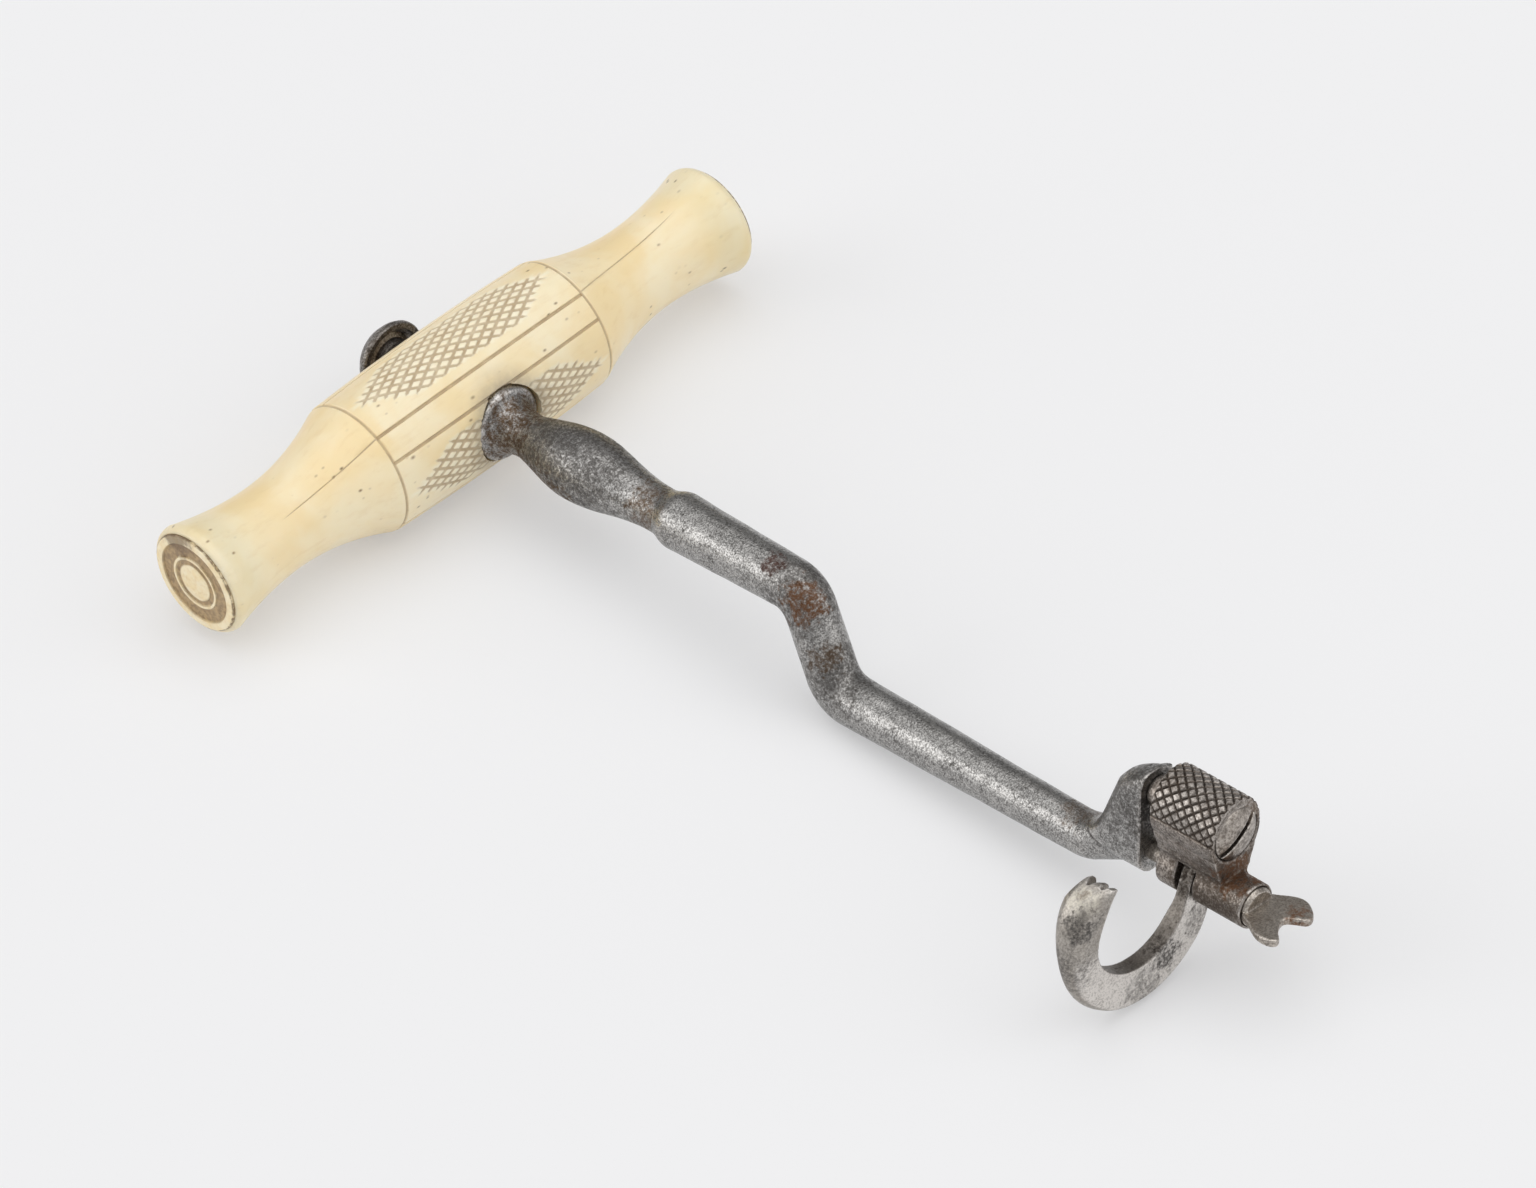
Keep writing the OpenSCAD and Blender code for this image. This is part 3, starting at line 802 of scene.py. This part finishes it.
# the directions, in degrees from and to, over which the hook clears its eye, widens, gets its crown
# and turns into a blade, and from where its end is drawn in as a beak
CLEARS_EYE, WIDENS, GETS_CROWN, GETS_BLADE = (-158, -138), (-50, 30), (-75, -15), (-15, 20)
BEAK_FROM = 14
CROWN_LEAST, CROWN_MORE = 0.5, 2.9
BLADE_FLAT, BLADE_FLAT_LOST, BLADE_DROP = 3.3, 2.4, 0.9
ROUNDING = 0.9
# the notches between the teeth and the shoulder behind them: side, half width, foot, top and rise
NOTCHES = ((1.6, 0.95, 7.2, 9.4, 0.8), (-0.2, 1.35, 6.9, 9.4, 0.8), (-3.6, 2.9, 4.4, 10.2, 0))
NOTCH_FROM_X, NOTCH_TO_X = 14, 28

# The fishtail on the claw screw, from its root: side and length
TAIL_Y, TAIL_T, TAIL_EDGE = 141.9, 1.1, 0.3
TAIL_SHAPE = ((-2.0, -0.6), (-3.5, 1.0), (-4.7, 3.0), (-4.72, 4.6), (-3.7, 6.3), (-2.6, 7.1),
              (-1.7, 6.95), (-0.9, 5.7), (-0.1, 4.85), (1.0, 5.0), (2.3, 5.9), (3.3, 6.95),
              (4.1, 7.0), (4.7, 6.0), (4.65, 4.3), (3.6, 2.2), (2.0, -0.6))


def copy_of(node, name):
    """A copy of the solid, in the head's frame."""
    copy = new_copy(nodes[node], name)
    copy.data.transform(HEAD.inverted())
    weld(copy, FINE_WELD)
    return copy


def soften(obj, voxel, passes):
    """Gives the piece even faces and edges softened as by the file and years of use."""
    even = obj.modifiers.new("even_faces", "REMESH")
    even.mode = "VOXEL"
    even.voxel_size = voxel
    soft = obj.modifiers.new("soft_edges", "SMOOTH")
    soft.factor = 0.5
    soft.iterations = passes
    use_modifiers(obj)


def cut_away(obj, cutter):
    hole = obj.modifiers.new("cut", "BOOLEAN")
    hole.operation = "DIFFERENCE"
    hole.solver = "EXACT"
    hole.object = cutter
    use_modifiers(obj)
    bpy.data.objects.remove(cutter)


def curved_plate(name, half_turn, inner, outer, y0, y1):
    """A plate bent round the barrel's axis, as wide as half_turn to each side of its top."""
    plate = new_grid(name, 48, 1)[0]
    with editing(plate):
        bpy.ops.mesh.select_all(action="SELECT")
        bpy.ops.mesh.extrude_region_move(TRANSFORM_OT_translate={"value": (0, 0, 1)})
    x, y, z = get_points(plate).T
    turn = x * half_turn
    radius = np.where(z > 0.5, outer, inner)
    y = np.where(y > 0, y1, y0)
    set_points(plate, np.column_stack([radius * np.sin(turn), y, radius * np.cos(turn)]))
    weld(plate)
    return plate


def knurl_depth(y, s):
    """0 to 1: the bottom of the checkering's lines on the barrel, y along it and s round it."""
    along, slant = y - BLOCK_Y, math.sqrt(0.5)
    nearest = np.minimum(off_lines((s + along) * slant, KNURL_PITCH),
                         off_lines((s - along) * slant, KNURL_PITCH))
    lines = np.clip(1 - nearest / (KNURL_W / 2), 0, 1)
    limit = KNURL_HALF * BARREL_R
    lines = lines * (np.abs(s) <= limit + 0.01)
    border = np.clip(1 - np.abs(np.abs(s) - limit) / (KNURL_W / 2), 0, 1)
    return np.maximum(lines, border)


def make_sleeve():
    """The checkered surface of the barrel: a sheet scored along every line, then bent round."""
    edge = [(math.sin(a), 1 - math.cos(a)) for a in np.radians((0, 30, 60, 90))]
    along = [BLOCK_Y + 0.02, BLOCK_Y + 0.02] + [BLOCK_Y + EDGE_R * (1 - x) for x, _ in edge[::-1]]
    radii = [SLEEVE_IN, BARREL_R - EDGE_R] + [BARREL_R - EDGE_R * z for _, z in edge[::-1]]
    middle = np.linspace(BLOCK_Y + EDGE_R, BLOCK_END - EDGE_R, 11)[1:-1]
    along += list(middle) + [BLOCK_END - EDGE_R * (1 - x) for x, _ in edge]
    radii += [BARREL_R] * len(middle) + [BARREL_R - EDGE_R * z for _, z in edge]
    along += [BLOCK_END - 0.02, BLOCK_END - 0.02]
    radii += [BARREL_R - EDGE_R, SLEEVE_IN]
    reach = np.concatenate([[0], np.cumsum(np.hypot(np.diff(along), np.diff(radii)))])
    keep = np.concatenate([[True], np.diff(reach) > 1e-6])
    reach, along, radii = reach[keep], np.array(along)[keep], np.array(radii)[keep]
    columns = 57  # of points
    around = np.linspace(-SLEEVE_HALF, SLEEVE_HALF, columns) * BARREL_R
    sheet, column, row = new_grid("checkered_sleeve", columns - 1, len(reach) - 1)
    set_points(sheet, np.column_stack([around[column], reach[row], np.zeros(len(row))]))
    # flat y is the reach; on the barrel it runs a constant ahead of the real y
    ahead = np.interp(BLOCK_Y + 2, along, reach) - (BLOCK_Y + 2)
    limit = KNURL_HALF * BARREL_R
    count = int((limit + BLOCK_END - BLOCK_Y) * math.sqrt(0.5) / KNURL_PITCH) + 1
    for side in (-1, 1):
        normal = Vector((1, -side, 0)).normalized()
        for k in range(-count, count + 1):
            for step in (-KNURL_W / 2, 0, KNURL_W / 2):
                point = Vector((0, BLOCK_Y + ahead, 0)) + normal * (k * KNURL_PITCH + step)
                x, y = face_middles(sheet)
                off = (x - point.x) * normal.x + (y - point.y) * normal.y
                chosen = (np.abs(off) < LINE_REACH) & (np.abs(x) < limit + EDGE_R)
                chosen &= (y - ahead > BLOCK_Y - EDGE_R) & (y - ahead < BLOCK_END + EDGE_R)
                score(sheet, chosen, point, normal)
    for side in (-1, 1):
        for step in (-KNURL_W / 2, 0, KNURL_W / 2):
            s = side * limit + step
            score(sheet, np.abs(face_middles(sheet)[0] - s) < BORDER_REACH, (s, 0, 0), (1, 0, 0))
    s, up, _ = get_points(sheet).T
    y = np.interp(up, reach, along)
    radius = np.interp(up, reach, radii)
    depth = knurl_depth(up - ahead, s) * (radius > BARREL_R - EDGE_R * 0.9)
    radius = radius - depth * KNURL_DEPTH
    turn = s / BARREL_R
    set_points(sheet, np.column_stack([radius * np.sin(turn), y, radius * np.cos(turn)]))
    set_points(sheet, slimmed(get_points(sheet)))
    keep_mark(sheet, "groove", np.clip(depth * 1.3, 0, 1))
    keep_mark(sheet, "worn", (depth < 0.05) * (np.abs(s) < limit) * 0.6)
    # the sheet's inside, hidden in the block, closes it
    close_borders(sheet, bpy.ops.mesh.fill)
    close_up(sheet)
    return sheet


def slimmed(points):
    """The barrel's flanks are filed a little flat, so that it is taller than wide."""
    x, y, z = points.T
    amount = SLIM * ease(np.hypot(x, z), SCREW_HEAD_R + 0.2, BARREL_R - 0.5) * ease(z, *NECK_FADE)
    return np.column_stack([x * (1 - amount), y, z])


def make_block():
    """The block's forging: the solid, cut back under the checkered sleeve and round its boss."""
    block = copy_of("bolster_block", "bolster_forging")
    soften(block, BLOCK_VOXELS[0], 0)
    cut_away(block, curved_plate("sleeve_seat", SLEEVE_HALF, SEAT_R, SEAT_OUT,
                                 BLOCK_Y - 0.5, BLOCK_END + 0.5))
    for turn in (0, math.pi):
        round_boss = curved_plate("boss_relief", math.radians(91), BOSS_R, CLEAR,
                                  POST_Y - 0.5, BLOCK_Y - 0.02)
        round_boss.data.transform(Matrix.Rotation(turn, 4, "Y"))
        cut_away(block, round_boss)
    soften(block, BLOCK_VOXELS[1], 3)
    set_points(block, slimmed(get_points(block)))
    mark_wear(block)
    # painted shade: a dark ring in the gap between the screw's head and the block's rim
    x, y, z = get_points(block).T
    away = np.abs(np.hypot(x, z) - SCREW_HEAD_R)
    ring = (1 - ease(away, 0.1, 0.35)) * (y > BLOCK_END - 1.2)
    raise_mark(block, "groove", ring * 0.8)
    return block


def post_rings():
    """Level sections of the post: a flat face, flat flanks and a back that sweeps down into the bar."""
    heights, backs = zip(*POST_BACK)
    rings = []
    levels = np.linspace(heights[0], 0, POST_LEVELS)
    for z in [*levels, *(POST_TOP * np.sin(np.radians(np.arange(8, 90, 8))))]:
        back = np.interp(z, heights, backs)
        dome = max(0.0, z / POST_TOP)
        foot = max(0.0, -TUBE_DROP - z) / POST_HALF
        half = POST_HALF * (1 - dome ** DOME_POWER) ** (1 / DOME_POWER) * math.sqrt(1 - foot ** 2)
        side = min(POST_Y - 0.3, back + POST_ROUND)
        ring = [(POST_X - half + 2 * half * k / 8, POST_Y) for k in range(8)]
        ring += [(POST_X + half, POST_Y + (side - POST_Y) * k / 5) for k in range(5)]
        ring += [(POST_X + half * math.cos(t), side - (side - back) * math.sin(t))
                 for t in np.linspace(0, math.pi, 17)]
        ring += [(POST_X - half, side + (POST_Y - side) * k / 5) for k in range(1, 5)]
        rings.append([(x, y, z) for x, y in ring])
    return rings


def make_shank():
    """The forging: the solid with the post's full crown, uneven as under the hammer."""
    shank = copy_of("shank", "forged_shank")
    shank = joined([shank, lofted("post_crown", post_rings())])
    soften(shank, SHANK_VOXEL, 4)
    blows = bpy.data.textures.new("hammer_blows", "CLOUDS")
    blows.noise_scale = 5.5
    blows.noise_depth = 1
    uneven = shank.modifiers.new("hammer_blows", "DISPLACE")
    uneven.texture = blows
    uneven.strength = 0.16
    uneven.mid_level = 0.62
    use_modifiers(shank)
    mark_wear(shank)
    return shank


def hook_outer(turn):
    """Reach from the inner curve's centre to the outer curve, in this direction."""
    dx, dz = HOOK_OUT.x - HOOK_IN.x, HOOK_OUT.y - HOOK_IN.y
    ahead = dx * math.cos(turn) + dz * math.sin(turn)
    return ahead + math.sqrt(HOOK_OUT_R ** 2 - dx * dx - dz * dz + ahead * ahead)


def hook_ring(degrees):
    """A section of the claw: flat where it leaves the tube, a broad crowned blade toward its teeth."""
    turn = math.radians(degrees)
    half = CLAW_T / 2 - EYE_INSET * (1 - ease(degrees, *CLEARS_EYE))
    half += (TIP_W - CLAW_T) / 2 * ease(degrees, *WIDENS)
    near_tip = np.clip((degrees - BEAK_FROM) / (TIP_TURN - BEAK_FROM), 0, 1)
    beak = 1 - math.sqrt(1 - near_tip ** 2)
    inner = HOOK_IN_R + 0.3 * near_tip ** 2
    width = (hook_outer(turn) - HOOK_IN_R) * (1 - beak) + TOOTH_EDGE * beak
    blade = ease(degrees, *GETS_BLADE)
    crown = CROWN_LEAST + CROWN_MORE * ease(degrees, *GETS_CROWN)
    strip = max(width - crown, 0) * (1 - blade)
    strip += blade * min(width * 0.8, BLADE_FLAT - BLADE_FLAT_LOST * max(degrees, 0) / TIP_TURN)
    proud = -BLADE_DROP * blade
    back = max(width - crown * 0.8, width * 0.45)
    ring = [(inner, -half + half * k / 3) for k in range(6)]
    ring += [(inner + strip * k / 6, half) for k in range(6)]
    for c in np.linspace(0, math.pi / 2, 12, endpoint=False):
        ring.append((inner + strip + (width - strip) * math.sin(c) ** ROUNDING,
                     proud + (half - proud) * math.cos(c) ** ROUNDING))
    for c in np.linspace(0, math.pi / 2, 12, endpoint=False):
        ring.append((inner + back + (width - back) * math.cos(c), proud - (half + proud) * math.sin(c)))
    ring += [(inner + back * (1 - k / 5), -half) for k in range(5)]
    return [(HOOK_IN.x + r * math.cos(turn), y, HOOK_IN.y + r * math.sin(turn)) for r, y in ring]


def notch(y, half_width, low, high, rise):
    """A V-shaped cutter across the claw's tip, which rises outward."""
    cutter = new_mesh("notch", bpy.ops.mesh.primitive_cylinder_add, vertices=3, radius=1, depth=2)
    points = get_points(cutter)
    left, right, foot = (y - half_width, high), (y + half_width, high), (y, low)
    corners = []
    for x_side, y_side, end in points:
        corner = foot if y_side > 0.5 else left if x_side < 0 else right
        x = NOTCH_FROM_X if end < 0 else NOTCH_TO_X
        corners.append((x, corner[0], corner[1] + rise * (x - TIP_X)))
    set_points(cutter, np.array(corners))
    weld(cutter)
    return cutter


def mark_hook(claw):
    """Brown film stays inside the hook's bend, and the front face is polished by use."""
    points, normals = get_points(claw), vectors(claw.data.vertices, "normal")
    to_middle = np.array([HOOK_IN.x, 0, HOOK_IN.y]) - points * (1, 0, 1)
    far = np.linalg.norm(to_middle, axis=1)
    inward = (normals * to_middle).sum(axis=1) / far
    inside = ease(inward, 0.35, 0.8) * (far < HOOK_IN_R + 1.5)
    polished = ease(normals[:, 1], 0.75, 0.98) * ease(-points[:, 2], -1.0, 3.0)
    raise_mark(claw, "groove", inside * 0.62)
    raise_mark(claw, "worn", polished)


def make_claw():
    rings = [hook_ring(d) for d in np.linspace(HOOK_ROOT, TIP_TURN, 90)]
    hook = lofted("toothed_claw", rings)
    eye = solid_rod("claw_eye", EYE_R, EYE_INSET - CLAW_T / 2, CLAW_T / 2 - EYE_INSET)
    claw = joined([hook, eye])
    soften(claw, CLAW_VOXELS[0], 1)
    cut_away(claw, solid_rod("eye_hole", EYE_HOLE_R, -3, 3))
    for cut in NOTCHES:
        cut_away(claw, notch(*cut))
    soften(claw, CLAW_VOXELS[1], 2)
    mark_wear(claw)
    mark_hook(claw)
    claw.data.transform(Matrix.Translation((0, CLAW_Y, -TUBE_DROP)))
    return claw


def smooth_outline(points, steps):
    """A closed curve through all the points."""
    points = np.array(points, dtype=float)
    before, after, beyond = np.roll(points, 1, 0), np.roll(points, -1, 0), np.roll(points, -2, 0)
    curve = []
    for a, b, c, d in zip(before, points, after, beyond):
        for t in np.arange(steps) / steps:
            curve.append(b + (c - a) * t / 2 + (a - 2.5 * b + 2 * c - d / 2) * t ** 2
                         + (1.5 * b - a / 2 - 1.5 * c + d / 2) * t ** 3)
    return np.array(curve)


def make_head_screw():
    """The slotted screw, its slot opened and deepened by many turns of the driver."""
    screw = copy_of("bolster_screw", "slotted_screw")
    slot = new_mesh("slot", bpy.ops.mesh.primitive_cube_add, size=1, location=(0, BLOCK_END + 1.55, 0))
    slot.scale = (2 * SCREW_HEAD_R + 1, 4, SLOT_W)
    bpy.ops.object.transform_apply()
    slot.data.transform(Matrix.Rotation(SLOT_TURN, 4, "Y"))
    cut_away(screw, slot)
    soften(screw, SCREW_VOXEL, 2)
    mark_wear(screw)
    x, y, z = get_points(screw).T
    # painted shade: the slot's floor is darkened
    across = z * math.cos(SLOT_TURN) + x * math.sin(SLOT_TURN)
    floor = (np.abs(across) < SLOT_W / 2 - 0.02) & (y > BLOCK_END - 0.7)
    raise_mark(screw, "groove", floor * 0.9)
    return screw


def make_thumb_screw():
    """The long screw, its polygon tail replaced by a fishtail with round horns and eased edges."""
    screw = copy_of("claw_screw", "fishtail_screw")
    old_tail = solid_rod("old_tail", CLEAR, TAIL_Y + 0.7, TAIL_Y + 12)
    old_tail.data.transform(Matrix.Translation((0, 0, -TUBE_DROP)))
    cut_away(screw, old_tail)
    curve = smooth_outline(TAIL_SHAPE, 8)
    along = np.roll(curve, -1, 0) - np.roll(curve, 1, 0)
    inward = np.column_stack([along[:, 1], -along[:, 0]]) / np.linalg.norm(along, axis=1)[:, None]
    rings = []
    for turn in np.radians(np.linspace(-90, 90, 11)):
        inset = inward * TAIL_EDGE * (1 - math.cos(turn))
        z = (TAIL_T / 2 - TAIL_EDGE) * np.sign(turn) + TAIL_EDGE * math.sin(turn)
        rings.append([(x, TAIL_Y + y, z - TUBE_DROP) for x, y in curve + inset])
    screw = joined([screw, lofted("fishtail", rings)])
    soften(screw, SCREW_VOXEL, 3)
    mark_wear(screw)
    return screw


PAPER = (0.86, 0.86, 0.87, 1)
PAPER_GLOW = (0.885, 0.886, 0.893, 1)
GLOW_SHARE = 0.38


def make_floor():
    floor = new_mesh("studio_floor", bpy.ops.mesh.primitive_plane_add, size=6)
    material, tree, surface = new_material("studio_paper", base_color=PAPER, roughness=0.9)
    surface.inputs["Specular IOR Level"].default_value = 0.1
    # the camera sees part of the paper as lit from below, which softens the shadow
    glow = shader_node(tree, "ShaderNodeEmission", {"Color": PAPER_GLOW, "Strength": 1.0})
    path = tree.nodes.new("ShaderNodeLightPath").outputs
    seen = sums(tree, "MAXIMUM", path["Is Camera Ray"], path["Is Glossy Ray"])
    blend = shader_node(tree, "ShaderNodeMixShader", {
        0: times(tree, seen, GLOW_SHARE), 1: surface.outputs[0], 2: glow.outputs[0]})
    tree.links.new(blend.outputs[0], tree.nodes["Material Output"].inputs["Surface"])
    floor.data.materials.append(material)


# The studio's light: an even dome with broad soft lobes, each its direction, half width in degrees
# and strength
DOME = 0.28
LOBES = (((0.0, -0.05, 1.0), 36, 1.30), ((-0.4, 0.72, 0.48), 26, 1.05),
         ((0.73, -0.58, 0.375), 22, 1.9), ((0.5, 0.8, 0.10), 30, 0.65))


def light_studio():
    world = bpy.data.worlds.new("studio")
    bpy.context.scene.world = world
    world.use_nodes = True
    tree = world.node_tree
    direction = tree.nodes.new("ShaderNodeTexCoord").outputs["Generated"]
    total = DOME
    for towards, width, strength in LOBES:
        facing = measured(tree, "DOT_PRODUCT", direction, Vector(towards).normalized())
        rim, core = (math.cos(math.radians(width * share)) for share in (1.4, 0.5))
        lobe = between(tree, facing, rim, core)
        total = plus(tree, times(tree, lobe, strength), total)
    tree.nodes["Background"].inputs["Color"].default_value = (1, 1, 1, 1)
    tree.links.new(total, tree.nodes["Background"].inputs["Strength"])


add_camera()
make_floor()
light_studio()
bpy.context.scene.view_settings.view_transform = "Standard"

# The steels, each with its stains and patches of painted shade and highlight: centre, radius, colour and
# strength
RUST = (0.180, 0.085, 0.040)
DARK_RUST = (0.10, 0.055, 0.045)
BROWN = (0.125, 0.080, 0.048)
TUBE_BROWN = (0.10, 0.078, 0.062)
BLACKENED = (0.105, 0.098, 0.092)
# a warm light colour for a painted highlight
PAINTED_HIGHLIGHT = (0.66, 0.62, 0.54)

bone = make_bone()
plug_bone = make_plug_bone()
# the first shank stain darkens the post's face in the narrow gap before the block, as painted shade
shank_steel = make_steel("forged_shank_steel", (0.50, 0.49, 0.475), (0.14, 0.135, 0.13), 0.25, (
    ((0.0, 125.4, -3.0), 4.5, GROOVE_AND_SHADE_DARK, 0.9), ((0.0, 23.0, 2.0), 13.0, BLACKENED, 0.9),
    ((0.0, 11.5, 0.0), 6.5, BROWN, 0.95), ((4.0, 21.0, -3.5), 5.5, BROWN, 0.8),
    ((1.0, 37.5, 0.5), 4.2, BROWN, 0.8), ((0.0, 122.0, -2.0), 9.0, BLACKENED, 0.80),
    ((0.0, 113.0, -9.0), 4.5, BROWN, 0.6), ((1.8, 65.0, 1.2), 6.5, BLACKENED, 0.85),
    ((2.5, 71.5, -8.5), 5.5, BLACKENED, 0.9), ((2.5, 66.5, 1.0), 3.8, RUST, 0.85),
    ((1.0, 60.0, 3.2), 2.0, DARK_RUST, 0.9), ((3.0, 69.5, -6.5), 2.6, BROWN, 0.7)), fine=4.4)
block_steel = make_steel("checkered_block_steel", (0.37, 0.33, 0.295), (0.11, 0.092, 0.08), 0.28, (
    ((1.3, 136.0, -9.0), 9.0, TUBE_BROWN, 0.85), ((0.8, 139.0, -5.6), 3.6, RUST, 0.8),
    ((-3.5, 139.0, 1.5), 2.5, BROWN, 0.7)), brown=0.4)
claw_steel = make_steel("claw_steel", (0.46, 0.425, 0.385), (0.28, 0.26, 0.235), 0.28, (
    # the first claw stain is a painted highlight on the hook's outer back near its tip
    ((22.3, 133.0, 2.0), 2.6, PAINTED_HIGHLIGHT, 0.9), ((23.3, 133.5, -1.6), 2.6, BLACKENED, 0.95),
    ((25.0, 131.5, -8.0), 4.5, BLACKENED, 0.7), ((21.0, 133.0, 1.0), 1.4, BROWN, 0.7),
    ((9.3, 134.0, -16.0), 3.2, BLACKENED, 0.95), ((14.0, 134.0, -18.5), 3.6, BLACKENED, 0.6),
    # the last claw stain darkens the claw's eye where it sits in the tube's slot, as painted shade
    ((3.5, 134.0, -14.5), 2.8, BLACKENED, 0.6), ((1.3, 132.5, -9.2), 4.2, GROOVE_AND_SHADE_DARK, 0.95)),
    brown=0.15, edges=0.9)
small_steel = make_steel("small_screw_steel", (0.56, 0.51, 0.455), (0.26, 0.23, 0.20), 0.33, (
    ((-0.8, 147.2, -10.0), 2.2, RUST, 0.9),), brown=0.3, edges=0.3)
head_steel = make_steel("slotted_head_steel", (0.50, 0.455, 0.41), (0.20, 0.175, 0.155), 0.27,
                        fine=2.6, brown=0.35)
knob_steel = make_steel("knob_steel", (0.34, 0.32, 0.30), (0.10, 0.09, 0.08), 0.36, brown=0.4)

handle = finish_piece(make_handle(), KEY, "key", bone)
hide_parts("handle")

shank = finish_piece(make_shank(), HEAD, "key", shank_steel, 60)
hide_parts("shank")

finish_piece(make_sleeve(), HEAD, "key", block_steel, 25)
block = finish_piece(make_block(), HEAD, "key", block_steel, 50)
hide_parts("bolster_block")

claw = finish_piece(make_claw(), HEAD, "claw", claw_steel, 45)
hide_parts("claw")

thumb_screw = finish_piece(make_thumb_screw(), HEAD, "claw_screw", small_steel, 50)
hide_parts("claw_screw")

head_screw = finish_piece(make_head_screw(), HEAD, "key", head_steel, 50)
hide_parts("bolster_screw")

for name, material in (("left_end_plug", plug_bone), ("right_end_plug", plug_bone),
                       ("knob_nut", knob_steel)):
    for slot in nodes[name].material_slots:
        slot.material = material
